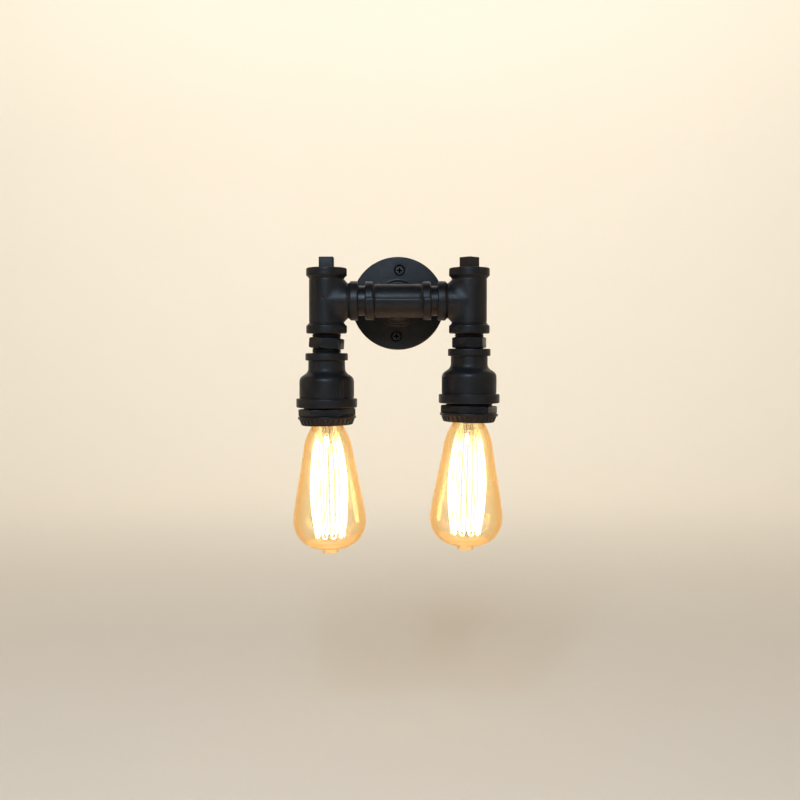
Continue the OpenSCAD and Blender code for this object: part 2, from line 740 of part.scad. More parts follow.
function inset(points, w) = [for (i = [0:len(points) - 1]) let (
        a = points[max(i - 1, 0)], b = points[min(i + 1, len(points) - 1)],
        d = (b - a) / norm(b - a), p = points[i] + w * [d[1], -d[0]]) [max(p[0], 0), p[1]]];
function backwards(points) = [for (i = [len(points) - 1:-1:0]) points[i]];

module bulb_glass(side) {
    outer = glass_outline();
    color(amber_glass, 0.45) on_holder(side)
        rotate_extrude() polygon(concat(outer, backwards(inset(outer, glass_t))));
}

// The screw cap draws in at its top to meet the black glass that carries the contact
cap_top = contact_tip - contact_h - insulator_h;
cap_top_r = 11.2;
module bulb_cap(side) {
    r = cap_d / 2;
    in_r = r - cap_t;
    cone_h = 2.4;
    color(brass) on_holder(side) rotate_extrude() polygon([
        [in_r, bulb_rim], [r, bulb_rim], [r, cap_top - cone_h], [cap_top_r, cap_top],
        [cap_top_r - cap_t, cap_top], [in_r, cap_top - cone_h - cap_t]]);
}

module bulb_insulator(side) {
    top = contact_tip - contact_h;
    color("#15110f") on_holder(side) rotate_extrude() polygon([
        [0, cap_top], [cap_top_r, cap_top], [contact_d / 2 + 1, top], [0, top]]);
}

module bulb_contact(side) {
    r = contact_d / 2;
    dome_w = 1.6;
    dome_h = 0.9;
    color(steel) on_holder(side) rotate_extrude() polygon([
        [0, contact_tip - contact_h], [r, contact_tip - contact_h], [r, contact_tip - dome_h],
        [r - dome_w, contact_tip], [0, contact_tip]]);
}

// The stem's flare closes the neck, and its rod carries the two beads inside the cage
stem_r = stem_d / 2;
press_foot = bulb_rim - 17;
top_bead = bulb_rim - 22;
cage_top = bulb_rim - cage_top_at;
cage_foot = bulb_rim - bulb_l + cage_foot_up;
half_step = 180 / strands;
top_turn_r = cage_top_r * sin(half_step);
foot_turn_r = cage_foot_r * sin(half_step);
foot_bead = cage_foot - foot_turn_r;
bead_h = 2;
press_h = 4;
module bulb_stem(side) {
    flare_r = glass_neck_r - glass_t - 0.1;
    flare_top = bulb_rim + 4;
    flare_foot = bulb_rim - 3;
    tube_wall = 1;
    tube_in_r = stem_r - tube_wall;
    press_t = 3.2;
    color(clear_glass, 0.5) on_holder(side) {
        rotate_extrude() polygon([
            [tube_in_r, press_foot + press_h], [stem_r, press_foot + press_h], [stem_r, flare_foot],
            [flare_r, flare_top], [flare_r - tube_wall, flare_top], [tube_in_r, flare_foot + 0.6]]);
        translate([-stem_r, -press_t / 2, press_foot]) cube([stem_d, press_t, press_h + 0.01]);
        translate([0, 0, foot_bead - bead_h / 2])
            cylinder(d = rod_d, h = press_foot + 1 - foot_bead + bead_h / 2, $fn = 24);
        for (z = [top_bead, foot_bead]) translate([0, 0, z - bead_h / 2])
            cylinder(d = bead_d, h = bead_h, $fn = 32);
    }
}

// A straight wire from one point to another
module wire(from, to, d) {
    v = to - from;
    translate(from) rotate([0, acos(v[2] / norm(v)), atan2(v[1], v[0])])
        cylinder(d = d, h = norm(v), $fn = 16);
}

// The gap between the cage's first and last strands faces the wall
function round_at(angle, r, z) = [r * cos(angle), r * sin(angle), z];
function strand_angle(k) = 90 + half_step + 2 * half_step * k;
function gap_turn(side) = pick(side, 0, 180);

// Each support wire runs from a bead to the turn of the filament that it holds
module bulb_supports(side) {
    hold = filament_d / 2 + 0.1;
    from_r = bead_d / 2 + 0.3;
    color(steel) on_holder(side) rotate([0, 0, gap_turn(side)]) {
        for (k = [1:2:strands - 3]) let (a = strand_angle(k + 0.5))
            wire(round_at(a, from_r, top_bead), round_at(a, cage_top_r - hold, cage_top + top_turn_r),
                support_d);
        for (k = [0:2:strands - 2]) let (a = strand_angle(k + 0.5))
            wire(round_at(a, from_r, foot_bead), round_at(a, cage_foot_r - hold, foot_bead), support_d);
    }
}

// Lead wires: up the stem's bore to the cap, and from the press to the filament's two ends
module bulb_leads(side) {
    lead_d = 0.8;
    bore_at = 1.6;
    press_at = 2.2;
    from = press_foot + press_h + 0.05;
    to = cap_top - 0.3;
    hold = filament_d / 2 + lead_d / 2 + 0.1;
    color(steel) on_holder(side) rotate([0, 0, gap_turn(side)]) for (s = [-1, 1]) {
        wire([s * bore_at, 0, from], [s * bore_at, 0, to], lead_d);
        let (a = 90 - s * half_step)
            wire([s * press_at, press_at, press_foot + press_h / 2],
                round_at(a, cage_top_r - hold, cage_top - 1), lead_d);
    }
}

// The filament is one zigzag round the cage, on a curve that bulges between top and foot
function cage_r(u) = (1 - u) * (1 - u) * cage_top_r + 2 * u * (1 - u) * cage_bulge_r + u * u * cage_foot_r;
function strand_point(k, u) = round_at(strand_angle(k), cage_r(u), cage_top + (cage_foot - cage_top) * u);
function turn_points(k, at_foot) = [for (p = [45:45:135])
    let (a = strand_angle(k + 0.5) - half_step * cos(p))
    at_foot ? round_at(a, cage_foot_r, cage_foot - foot_turn_r * sin(p))
            : round_at(a, cage_top_r, cage_top + top_turn_r * sin(p))];
strand_steps = [0, 0.2, 0.4, 0.6, 0.8, 1];
function filament_path() = [for (k = [0:strands - 1]) each concat(
    [for (u = strand_steps) strand_point(k, k % 2 == 0 ? u : 1 - u)],
    k == strands - 1 ? [] : turn_points(k, k % 2 == 0))];

// A round wire of six sides along points that lie on a surface about the Z axis
module tube(path, d, sides = 6) {
    n = len(path);
    function heading(i) = let (v = path[min(i + 1, n - 1)] - path[max(i - 1, 0)]) v / norm(v);
    function outward(i) = let (t = heading(i), r = [path[i][0], path[i][1], 0], v = r - (r * t) * t)
        v / norm(v);
    rings = [for (i = [0:n - 1]) let (o = outward(i), s = cross(heading(i), o))
        for (j = [0:sides - 1]) path[i] + d / 2 * (cos(360 * j / sides) * o + sin(360 * j / sides) * s)];
    walls = [for (i = [0:n - 2], j = [0:sides - 1]) let (
        a = i * sides + j, b = i * sides + (j + 1) % sides)
        each [[a, a + sides, b], [b, a + sides, b + sides]]];
    ends = [for (j = [1:sides - 2]) each [[0, j, j + 1], let (e = (n - 1) * sides) [e, e + j + 1, e + j]]];
    polyhedron(points = rings, faces = concat(walls, ends));
}

module bulb_filament(side) {
    color(glow) on_holder(side) rotate([0, 0, gap_turn(side)]) tube(filament_path(), filament_d);
}

wall_flange();
wall_screws();
flange_nipple();
centre_tee();
splice_block();
splice_screws();

side_nipple(LEFT);  // left_side_nipple
pipe_flex(LEFT);  // left_pipe_flex
outer_tee(LEFT);  // left_tee
plug(LEFT);  // left_plug
hex_nipple(LEFT);  // left_hex_nipple
bell(LEFT);  // left_bell
bushing(LEFT);  // left_bushing
arm_flex(LEFT);  // left_arm_flex
flex_cores(LEFT);  // left_flex_cores
holder_cap(LEFT);  // left_holder_cap
holder_skirt(LEFT);  // left_holder_skirt
contact_block(LEFT);  // left_contact_block
centre_contact(LEFT);  // left_centre_contact
terminal_screws(LEFT);  // left_terminal_screws
screw_shell(LEFT);  // left_screw_shell
shade_ring(LEFT);  // left_shade_ring
bulb_contact(LEFT);  // left_bulb_contact
bulb_insulator(LEFT);  // left_bulb_insulator
bulb_cap(LEFT);  // left_bulb_cap
bulb_glass(LEFT);  // left_bulb_glass
bulb_stem(LEFT);  // left_bulb_stem
bulb_supports(LEFT);  // left_bulb_supports
bulb_leads(LEFT);  // left_bulb_leads
bulb_filament(LEFT);  // left_bulb_filament

side_nipple(RIGHT);  // right_side_nipple
pipe_flex(RIGHT);  // right_pipe_flex
outer_tee(RIGHT);  // right_tee
plug(RIGHT);  // right_plug
hex_nipple(RIGHT);  // right_hex_nipple
bell(RIGHT);  // right_bell
bushing(RIGHT);  // right_bushing
arm_flex(RIGHT);  // right_arm_flex
flex_cores(RIGHT);  // right_flex_cores
holder_cap(RIGHT);  // right_holder_cap
holder_skirt(RIGHT);  // right_holder_skirt
contact_block(RIGHT);  // right_contact_block
centre_contact(RIGHT);  // right_centre_contact
terminal_screws(RIGHT);  // right_terminal_screws
screw_shell(RIGHT);  // right_screw_shell
shade_ring(RIGHT);  // right_shade_ring
bulb_contact(RIGHT);  // right_bulb_contact
bulb_insulator(RIGHT);  // right_bulb_insulator
bulb_cap(RIGHT);  // right_bulb_cap
bulb_glass(RIGHT);  // right_bulb_glass
bulb_stem(RIGHT);  // right_bulb_stem
bulb_supports(RIGHT);  // right_bulb_supports
bulb_leads(RIGHT);  // right_bulb_leads
bulb_filament(RIGHT);  // right_bulb_filament
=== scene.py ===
import math
import random

import bmesh
import bpy
from mathutils import Matrix, Vector, noise


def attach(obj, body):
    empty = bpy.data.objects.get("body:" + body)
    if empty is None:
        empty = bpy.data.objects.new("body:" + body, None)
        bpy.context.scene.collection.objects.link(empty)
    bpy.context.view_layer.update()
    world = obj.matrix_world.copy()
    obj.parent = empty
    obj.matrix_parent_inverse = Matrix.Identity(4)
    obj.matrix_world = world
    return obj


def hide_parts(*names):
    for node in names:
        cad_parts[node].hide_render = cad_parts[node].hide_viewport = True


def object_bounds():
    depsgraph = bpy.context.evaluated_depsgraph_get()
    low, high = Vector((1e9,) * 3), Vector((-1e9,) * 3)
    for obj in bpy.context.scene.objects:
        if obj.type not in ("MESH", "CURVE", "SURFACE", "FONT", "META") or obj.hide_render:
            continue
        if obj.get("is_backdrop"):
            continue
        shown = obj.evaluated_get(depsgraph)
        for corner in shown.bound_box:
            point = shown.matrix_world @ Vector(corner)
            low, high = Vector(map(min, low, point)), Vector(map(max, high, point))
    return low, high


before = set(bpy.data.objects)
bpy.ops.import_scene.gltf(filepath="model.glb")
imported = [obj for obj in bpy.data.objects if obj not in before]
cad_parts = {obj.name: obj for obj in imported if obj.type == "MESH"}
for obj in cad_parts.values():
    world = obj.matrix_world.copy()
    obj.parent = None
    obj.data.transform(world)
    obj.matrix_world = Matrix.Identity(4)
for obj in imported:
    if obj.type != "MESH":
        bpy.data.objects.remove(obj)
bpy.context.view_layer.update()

# ---- Wall flange ----
# A malleable iron flange with a raised hub, cast, bored and threaded for the pipe, drilled and
# countersunk for two wall screws, and painted satin black. The whole lamp hangs from it.

MM = 0.001


def arc(centre, radius, start, end, steps=6):
    """Points of an outline on an arc. Angles are in degrees."""
    points = []
    for i in range(steps + 1):
        angle = math.radians(start + (end - start) * i / steps)
        points.append((centre[0] + radius * math.cos(angle), centre[1] + radius * math.sin(angle)))
    return points


def thread(crest, start, end, pitch=1.81, depth=0.85):
    """The outline of a pipe thread's ridges, from one height to another."""
    turns = max(1, round(abs(end - start) / pitch))
    step = (end - start) / turns
    points = []
    root = crest - depth
    for i in range(turns):
        for share, r in ((0.08, crest), (0.44, root), (0.56, root), (0.92, crest)):
            points.append((r, start + step * (i + share)))
    return points


def turned(outline, closed=True, steps=96):
    """Spins an outline of (radius, height), in millimetres, about Z."""
    bm = bmesh.new()
    points = [bm.verts.new((r * MM, 0, h * MM)) for r, h in outline]
    pairs = list(zip(points, points[1:]))
    if closed:
        pairs.append((points[-1], points[0]))
    edges = [bm.edges.new(pair) for pair in pairs]
    bmesh.ops.spin(bm, geom=points + edges, cent=(0, 0, 0), axis=(0, 0, 1), dvec=(0, 0, 0),
                   angle=math.tau, steps=steps, use_merge=True, use_duplicate=False)
    bmesh.ops.remove_doubles(bm, verts=bm.verts, dist=0.001 * MM)
    bmesh.ops.dissolve_degenerate(bm, edges=bm.edges, dist=0.0001 * MM)
    return bm


def shade(mesh, crease=35):
    """Smooth shading that keeps real edges crisp."""
    mesh.shade_smooth()
    mesh.set_sharp_from_angle(angle=math.radians(crease))


def piece_from(bm, name, place=Matrix.Identity(4), crease=35):
    """Puts a finished mesh in place as a piece of its own."""
    bm.transform(place)
    bmesh.ops.recalc_face_normals(bm, faces=bm.faces)
    mesh = bpy.data.meshes.new(name)
    bm.to_mesh(mesh)
    bm.free()
    shade(mesh, crease)
    piece = bpy.data.objects.new(name, mesh)
    bpy.context.scene.collection.objects.link(piece)
    return piece


def settle(piece, crease=35):
    """Applies a piece's modifiers to its mesh."""
    graph = bpy.context.evaluated_depsgraph_get()
    mesh = bpy.data.meshes.new_from_object(piece.evaluated_get(graph))
    piece.modifiers.clear()
    piece.data = mesh
    shade(mesh, crease)
    return piece


def combine(piece, tools, how="DIFFERENCE", crease=35):
    """Cuts the tools out of a piece, or joins them to it."""
    for tool in tools:
        change = piece.modifiers.new("change", "BOOLEAN")
        change.operation, change.solver, change.object = how, "EXACT", tool
    settle(piece, crease)
    for tool in tools:
        bpy.data.objects.remove(tool)
    return piece


class Wire:
    """A socket of a finish. A sum written on it adds Math nodes."""

    def __init__(self, finish, socket):
        self.finish, self.socket = finish, socket

    def __add__(self, other):
        return self.finish.sum("ADD", self, other)

    def __sub__(self, other):
        return self.finish.sum("SUBTRACT", self, other)

    def __rsub__(self, other):
        return self.finish.sum("SUBTRACT", other, self)

    def __mul__(self, other):
        return self.finish.sum("MULTIPLY", self, other)

    def __pow__(self, other):
        return self.finish.sum("POWER", self, other)

    __radd__ = __add__
    __rmul__ = __mul__


class Finish:
    """One material, built from nodes."""

    def __init__(self, name):
        self.material = bpy.data.materials.new(name)
        self.material.use_nodes = True
        self.tree = self.material.node_tree
        self.tree.nodes.clear()

    def add(self, kind, settings=None, inputs=None, output=0):
        node = self.tree.nodes.new(kind)
        for key, value in (settings or {}).items():
            setattr(node, key, value)
        for key, value in (inputs or {}).items():
            if isinstance(value, Wire):
                self.tree.links.new(value.socket, node.inputs[key])
            else:
                node.inputs[key].default_value = value
        return Wire(self, node.outputs[output]) if node.outputs else None

    def sum(self, operation, a, b):
        return self.add("ShaderNodeMath", {"operation": operation}, {0: a, 1: b})

    def where(self):
        return self.add("ShaderNodeTexCoord", output="Object")

    def grain(self, scale, detail=3.0, at=None):
        return self.add("ShaderNodeTexNoise", inputs={
            "Vector": at or self.where(), "Scale": scale, "Detail": detail})

    def ramp(self, factor, low, high):
        """0 under low, 1 over high."""
        return self.add("ShaderNodeMapRange", {"clamp": True}, {
            "Value": factor, "From Min": low, "From Max": high})

    def blend(self, factor, a, b):
        return self.add("ShaderNodeMix", {"data_type": "RGBA"}, {0: factor, 6: a, 7: b}, output=2)

    def bump(self, height, depth):
        return self.add("ShaderNodeBump", inputs={
            "Height": height, "Distance": depth, "Strength": 1.0})

    def close(self, shader):
        self.add("ShaderNodeOutputMaterial", inputs={"Surface": shader})
        return self.material


def painted(name, tone, roughness, pits, lumps, seed=0.0):
    """Satin black paint over iron: a fine orange peel, the casting's grain and faint dust."""
    f = Finish(name)
    at = f.add("ShaderNodeMapping", inputs={
        "Vector": f.where(), "Location": (seed, 0.3 * seed, seed)})
    peel = f.grain(2400, 2.0, at)
    cast = f.grain(620, 4.0, at)
    cloud = f.grain(75, 3.0, at)
    dust = f.ramp(cloud + peel * 0.25, 0.5, 0.85)
    dark, light = (*tone, 1), (*[c * 1.5 + 0.001 for c in tone], 1)
    height = peel * 0.35 + cast * 1.0 + f.ramp(cast, 0.25, 0.42) * pits + cloud * lumps
    return f.close(f.add("ShaderNodeBsdfPrincipled", inputs={
        "Base Color": f.blend(dust, dark, light),
        "Roughness": roughness + (cloud - 0.5) * 0.22 + dust * 0.06,
        "Specular IOR Level": 0.2, "Normal": f.bump(height, 0.09 * MM)}))


CAST_BLACK = painted("cast_iron_black", (0.0058, 0.0062, 0.0072), 0.38, 0.5, 1.6)
PIPE_BLACK = painted("pipe_steel_black", (0.0048, 0.005, 0.0058), 0.32, 0.15, 0.5, seed=0.4)


def fit(piece, body, node, finish):
    """Gives a piece its finish and sets it on its body in place of the frame's solid."""
    piece.data.materials.clear()
    piece.data.materials.append(finish)
    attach(piece, body)
    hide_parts(node)
    return piece


# The frame's axis turned so that up in a turned piece points away from the wall
OUT_OF_WALL = Matrix.Rotation(math.radians(90), 4, "X")
FLANGE_R, PLATE, PLATE_ROUND, BACK_ROUND = 42.3, 6.0, 1.4, 0.6
HUB_R, HUB_TOP, HUB_ROUND, HUB_FILLET = 19.35, 16.0, 1.15, 3.0
TAPPED_R, TAPPED_CREST_R = 13.6, 13.3
FLANGE_CREASE = 20
flange = piece_from(turned(
    [(TAPPED_R, 0), (FLANGE_R - BACK_ROUND, 0), (FLANGE_R, BACK_ROUND)]
    + arc((FLANGE_R - PLATE_ROUND, PLATE - PLATE_ROUND), PLATE_ROUND, 0, 90)
    + arc((HUB_R + HUB_FILLET + 0.05, PLATE + HUB_FILLET), HUB_FILLET, 270, 180, 8)
    + [(HUB_R, 14.4)] + arc((HUB_R - HUB_ROUND, HUB_TOP - HUB_ROUND), HUB_ROUND, 0, 90)
    + [(TAPPED_R + 0.5, HUB_TOP)] + thread(TAPPED_CREST_R, HUB_TOP - 0.6, 0.6)),
    "wall_flange_cast", OUT_OF_WALL, FLANGE_CREASE)
SCREW_CIRCLE_R = 30
SCREW_SPOTS = [OUT_OF_WALL @ Matrix.Translation((SCREW_CIRCLE_R * math.cos(a) * MM,
                                                 SCREW_CIRCLE_R * math.sin(a) * MM, 0))
               for a in (math.radians(87.3), math.radians(267.3))]
# A screw's hole, its countersink, and the soft lip that the paint left round it
SINK = [(0, -1), (2.6, -1), (2.6, 3.0), (4.5, 4.3), (4.7, 5.5), (4.9, 5.85), (5.3, 6.05),
        (5.3, 9), (0, 9)]
sinks = [piece_from(turned(SINK, closed=False, steps=48), "sink", spot) for spot in SCREW_SPOTS]
combine(flange, sinks, crease=FLANGE_CREASE)
fit(flange, "wall_bracket", "wall_flange", CAST_BLACK)

# ---- Wall screws ----
# Two countersunk wood screws with an upright cross recess, blackened, and worn on the head, with
# painted shade filling the recess.
# They go through the flange into plugs in the wall, so their threads stand behind it.

HEAD_Y, RECESS_Y, WALL_BLEND = -5.3, -5.1, 0.3
f = Finish("screw_black_and_recess_shade")
depth = f.add("ShaderNodeSeparateXYZ", inputs={0: f.where()}, output="Y")
# Painted shade: from just under the head's face back to the wall, the screw is painted near-black,
# so the cross recess reads as a dark hollow
recess_shade_mask = (f.ramp(depth, HEAD_Y * MM, RECESS_Y * MM)
          * (1 - f.ramp(depth, -WALL_BLEND * MM, WALL_BLEND * MM)))
worn = f.add("ShaderNodeBsdfPrincipled", inputs={
    "Base Color": f.blend(f.grain(700), (0.012, 0.012, 0.011, 1), (0.03, 0.029, 0.026, 1)),
    "Roughness": 0.36, "Specular IOR Level": 0.3, "Normal": f.bump(f.grain(1500), 0.03 * MM)})
# The painted shade itself: a near-black diffuse surface in the recess
recess_painted_shade = f.add("ShaderNodeBsdfDiffuse", inputs={"Color": (0.001, 0.001, 0.001, 1)})
SCREW_BLACK_AND_SHADE = f.close(f.add("ShaderNodeMixShader", inputs={0: recess_shade_mask, 1: worn, 2: recess_painted_shade}))

SCREW_CREASE = 16
SCREW = ([(0, 5.45), (3.5, 5.35), (3.85, 5.15), (3.95, 4.9), (2.3, 3.4), (2.3, 0.4), (1.9, 0)]
         + thread(2.0, -0.6, -18.4, pitch=1.7, depth=0.62)
         + [(1.35, -19), (0.9, -21.4), (0.25, -23.6), (0, -24)])
# The cross recess at its foot and above the head: height, length and half the width of a wing
CROSS_ENDS = ((3.3, 1.2, 0.5), (6.4, 3.0, 0.78))
screws = []
for spot in SCREW_SPOTS:
    screw = piece_from(turned(SCREW, closed=False, steps=48), "screw", spot, SCREW_CREASE)
    cross = bmesh.new()
    foot, top = [], []
    for ring, (height, reach, half) in zip((foot, top), CROSS_ENDS):
        corners = [(reach, half), (half, half), (half, reach)]
        for _ in range(3):
            corners += [(-y, x) for x, y in corners[-3:]]
        ring += [cross.verts.new((x * MM, y * MM, height * MM)) for x, y in corners]
    for i in range(len(foot)):
        cross.faces.new((foot[i - 1], foot[i], top[i], top[i - 1]))
    cross.faces.new(foot)
    cross.faces.new(top)
    screws.append(combine(screw, [piece_from(cross, "cross", spot)], crease=SCREW_CREASE))
with bpy.context.temp_override(active_object=screws[0], selected_editable_objects=screws):
    bpy.ops.object.join()
screws[0].name = "wall_screws_pair"
fit(screws[0], "wall_bracket", "wall_screws", SCREW_BLACK_AND_SHADE)

# ---- Flange nipple ----
# A short length of steel pipe, threaded at both ends. It screws into the flange's hub and
# the centre tee, and the supply leads come through it.

PIPE_R, PIPE_END_R, PIPE_GRIP = 13.1, 12.2, 12.0
FLANGE_SHOW = 3.5


def nipple_outline(show, bore=10.7):
    """A close nipple's outline: threads, a bare middle, and a bore, centred on the origin."""
    end = show / 2 + PIPE_GRIP
    near = thread(PIPE_R, -end + 0.8, -show / 2 - 0.6)
    far = [(r, -h) for r, h in reversed(near)]
    return ([(bore, -end), (PIPE_END_R, -end)] + near + [(PIPE_R, -show / 2), (PIPE_R, show / 2)]
            + far + [(PIPE_END_R, end), (bore, end)])


middle = OUT_OF_WALL @ Matrix.Translation((0, 0, (HUB_TOP + FLANGE_SHOW / 2) * MM))
flange_nipple = piece_from(turned(nipple_outline(FLANGE_SHOW)), "flange_nipple_pipe", middle)
fit(flange_nipple, "wall_bracket", "flange_nipple", PIPE_BLACK)

# ---- Centre tee ----
# A malleable iron tee, sand cast in two halves that meet a little out of line, so that a
# parting line runs along its front. Its run is level and its branch faces the wall.


def casting(node, name, voxel=0.5, rounds=4, lump=0.05):
    """A cast piece: the frame's solid as one skin, with soft corners and an uneven face."""
    bm = bmesh.new()
    bm.from_mesh(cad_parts[node].data)
    bmesh.ops.remove_doubles(bm, verts=bm.verts, dist=0.001 * MM)
    piece = piece_from(bm, name)
    skin = piece.modifiers.new("skin", "REMESH")
    skin.mode, skin.voxel_size = "VOXEL", voxel * MM
    soft = piece.modifiers.new("soft", "SMOOTH")
    soft.factor, soft.iterations = 0.5, rounds
    settle(piece, 180)
    return worked(piece, lambda v: v.normal * (lump * MM) * (
        noise.noise(v.co * 110) + 0.5 * noise.noise(v.co * 260)))


def worked(piece, move):
    """Moves each point of a piece's skin by what move says for it."""
    bm = bmesh.new()
    bm.from_mesh(piece.data)
    for v in bm.verts:
        v.co += move(v)
    bm.to_mesh(piece.data)
    bm.free()
    return piece


AXIS_Y = -48.0
PARTING_TILT, SLIP, SLIP_END, BORE_REACH = math.radians(7.8), 0.7, 29, 12.8


def parting(v):
    """The lower half of the mould sat a little to one side, and left a seam of flash."""
    out, up = AXIS_Y * MM - v.co.y, v.co.z
    if math.hypot(out, up) < BORE_REACH * MM:
        return Vector()
    off = (up * math.cos(PARTING_TILT) - out * math.sin(PARTING_TILT)) / MM
    lower = 1 / (1 + math.exp(max(-30, min(30, off * 6))))
    slip = SLIP * MM * lower * max(0, min(1, (SLIP_END - abs(v.co.x) / MM) / 1.5))
    seam = 0.34 * math.exp(-(off / 0.4) ** 2) - 0.3 * math.exp(-((off + 0.95) / 0.5) ** 2)
    return Vector((slip, 0, 0)) + v.normal * (seam * MM)


def flowed(piece, place, body_r, reach=18.5, swell=7.0):
    """Lets a tee's run and branch flow into each other, as a pattern maker's fillet does."""
    into, turn = place.inverted(), place.to_3x3()

    def move(v):
        at = into @ v.co / MM
        if at.x < 0.2 or max(at.x, abs(at.z)) > reach:
            return Vector()
        run, side = Vector((at.x, at.y, 0)), Vector((0, at.y, at.z))
        off_run, off_side = run.length - body_r, side.length - body_r
        run.normalize()
        side.normalize()
        fillet = swell * (1 - run.dot(side) ** 2) + 0.01
        share = max(0, min(1, 0.5 + 0.5 * (off_side - off_run) / fillet))
        off = off_side * (1 - share) + off_run * share - fillet * share * (1 - share)
        if abs(off) > 1.8:
            return Vector()
        fade = min(1, (reach - max(at.x, abs(at.z))) / 2.5)
        return turn @ (side * (1 - share) + run * share).normalized() * (-off * fade * MM)

    return worked(piece, move)


def creased(piece, into, levels, body_r, depth=0.45, width=0.5):
    """Sharpens the line where a band leaves the body, which the mould's sand keeps crisp."""

    def move(v):
        at = into @ v.co / MM
        if math.hypot(at.x, at.y) < body_r - 1:
            return Vector()
        dip = sum(math.exp(-((at.z - level) / width) ** 2) for level in levels)
        return v.normal * (-depth * MM * dip)

    return worked(piece, move)


LYING = (Matrix.Translation((0, AXIS_Y * MM, 0)) @ Matrix.Rotation(math.radians(90), 4, "Z")
         @ Matrix.Rotation(math.radians(90), 4, "X"))
CENTRE_BODY_R, CENTRE_BAND_Z = 14.75, 19.4
centre_tee = flowed(casting("centre_tee", "centre_tee_cast"), LYING, CENTRE_BODY_R)
worked(centre_tee, parting)
creased(centre_tee, LYING.inverted(), (-CENTRE_BAND_Z, CENTRE_BAND_Z), CENTRE_BODY_R)
fit(centre_tee, "wall_bracket", "centre_tee", CAST_BLACK)

# ---- Splice block and flex ----
# Inside the pipes: a steatite block with two brass clamp screws joins the supply leads to the
# flex. Round rubber flex runs out to each arm, bends down it and ends in two insulated cores.


def plain(name, colour, roughness, spread=0.08, metallic=0.0, scale=500, depth=0.03,
          specular=0.5):
    """A moulded, drawn or turned surface with a slight unevenness of tone and shine."""
    f = Finish(name)
    cloud, fine = f.grain(90, 3.0), f.grain(scale, 2.0)
    light = (*[min(1, c * (1 + spread)) for c in colour], 1)
    dark = (*[c * (1 - spread) for c in colour], 1)
    return f.close(f.add("ShaderNodeBsdfPrincipled", inputs={
        "Base Color": f.blend(cloud, dark, light), "Metallic": metallic,
        "Specular IOR Level": specular, "Roughness": roughness + (cloud - 0.5) * 0.12,
        "Normal": f.bump(fine, depth * MM)}))


def coat(node, finish):
    """Gives one of the frame's own solids its finish."""
    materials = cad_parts[node].data.materials
    materials.clear()
    materials.append(finish)


PORCELAIN = plain("steatite", (0.80, 0.77, 0.70), 0.42)
BRASS = plain("drawn_brass", (0.78, 0.58, 0.28), 0.28, 0.12, metallic=1.0)
RUBBER = plain("flex_rubber", (0.018, 0.018, 0.019), 0.62, 0.2)
for node, finish in {"splice_block": PORCELAIN, "splice_screws": BRASS, "left_pipe_flex": RUBBER,
                     "right_pipe_flex": RUBBER, "left_arm_flex": RUBBER, "right_arm_flex": RUBBER,
                     "left_flex_cores": RUBBER, "right_flex_cores": RUBBER}.items():
    coat(node, finish)

# ---- Side nipples ----
# Two more close nipples carry the arms on the centre tee. Each arm can swing about its nipple's
# thread, so the bare length between the tees stays bright black and smooth.

SIDES = {"left": -1, "right": 1}
ALONG_PIPE = Matrix.Rotation(math.radians(90), 4, "Y")
SIDE_SHOW, SIDE_NIPPLE_X = 5.8, 31.5
for side, s in SIDES.items():
    place = Matrix.Translation((s * SIDE_NIPPLE_X * MM, AXIS_Y * MM, 0)) @ ALONG_PIPE
    side_nipple = piece_from(turned(nipple_outline(SIDE_SHOW)), side + "_side_nipple_pipe", place)
    fit(side_nipple, "wall_bracket", side + "_side_nipple", PIPE_BLACK)

# ---- Outer tees ----
# The same kind of casting as the centre tee, one size up in the bands, run upright and branch
# inwards. A small blow hole was left in the face of the left one.

ARM_X = 62.3
OUTER_RUN, OUTER_BODY_R, RUN_BAND_Z, BRANCH_BAND_X = 57.0, 15.3, 18.9, 18.7
ARM = {side: Matrix.Translation((s * ARM_X * MM, AXIS_Y * MM, 0))
       @ Matrix.Rotation(0 if s < 0 else math.pi, 4, "Z") for side, s in SIDES.items()}
for side in SIDES:
    tee = flowed(casting(side + "_tee", side + "_tee_cast"), ARM[side], OUTER_BODY_R)
    creased(tee, ARM[side].inverted(), (-RUN_BAND_Z, RUN_BAND_Z), OUTER_BODY_R)
    creased(tee, ALONG_PIPE.inverted() @ ARM[side].inverted(), (BRANCH_BAND_X,), OUTER_BODY_R)
    if side == "left":
        blow_hole = Vector((-ARM_X - 2.4, AXIS_Y - 15.2, 1.9)) * MM
        worked(tee, lambda v: v.normal * (-0.55 * MM)
               * math.exp(-((v.co - blow_hole).length / (0.9 * MM)) ** 2))
    fit(tee, side + "_arm", side + "_tee", CAST_BLACK)

# ---- Plugs ----
# A square-head iron plug closes the top of each outer tee. The right one was turned home
# an eighth of a turn further, so it shows a corner.

PLUG_SQUARE, PLUG_HEAD = 12.8, 9.5
PLUG_TURN = {"left": 0, "right": 45}


def rounded(bm, edges, offset, segments):
    """Rounds some edges of a mesh in the making."""
    return bmesh.ops.bevel(bm, geom=edges, offset=offset * MM, offset_type="OFFSET",
                           segments=segments, profile=0.5, affect="EDGES", material=-1)


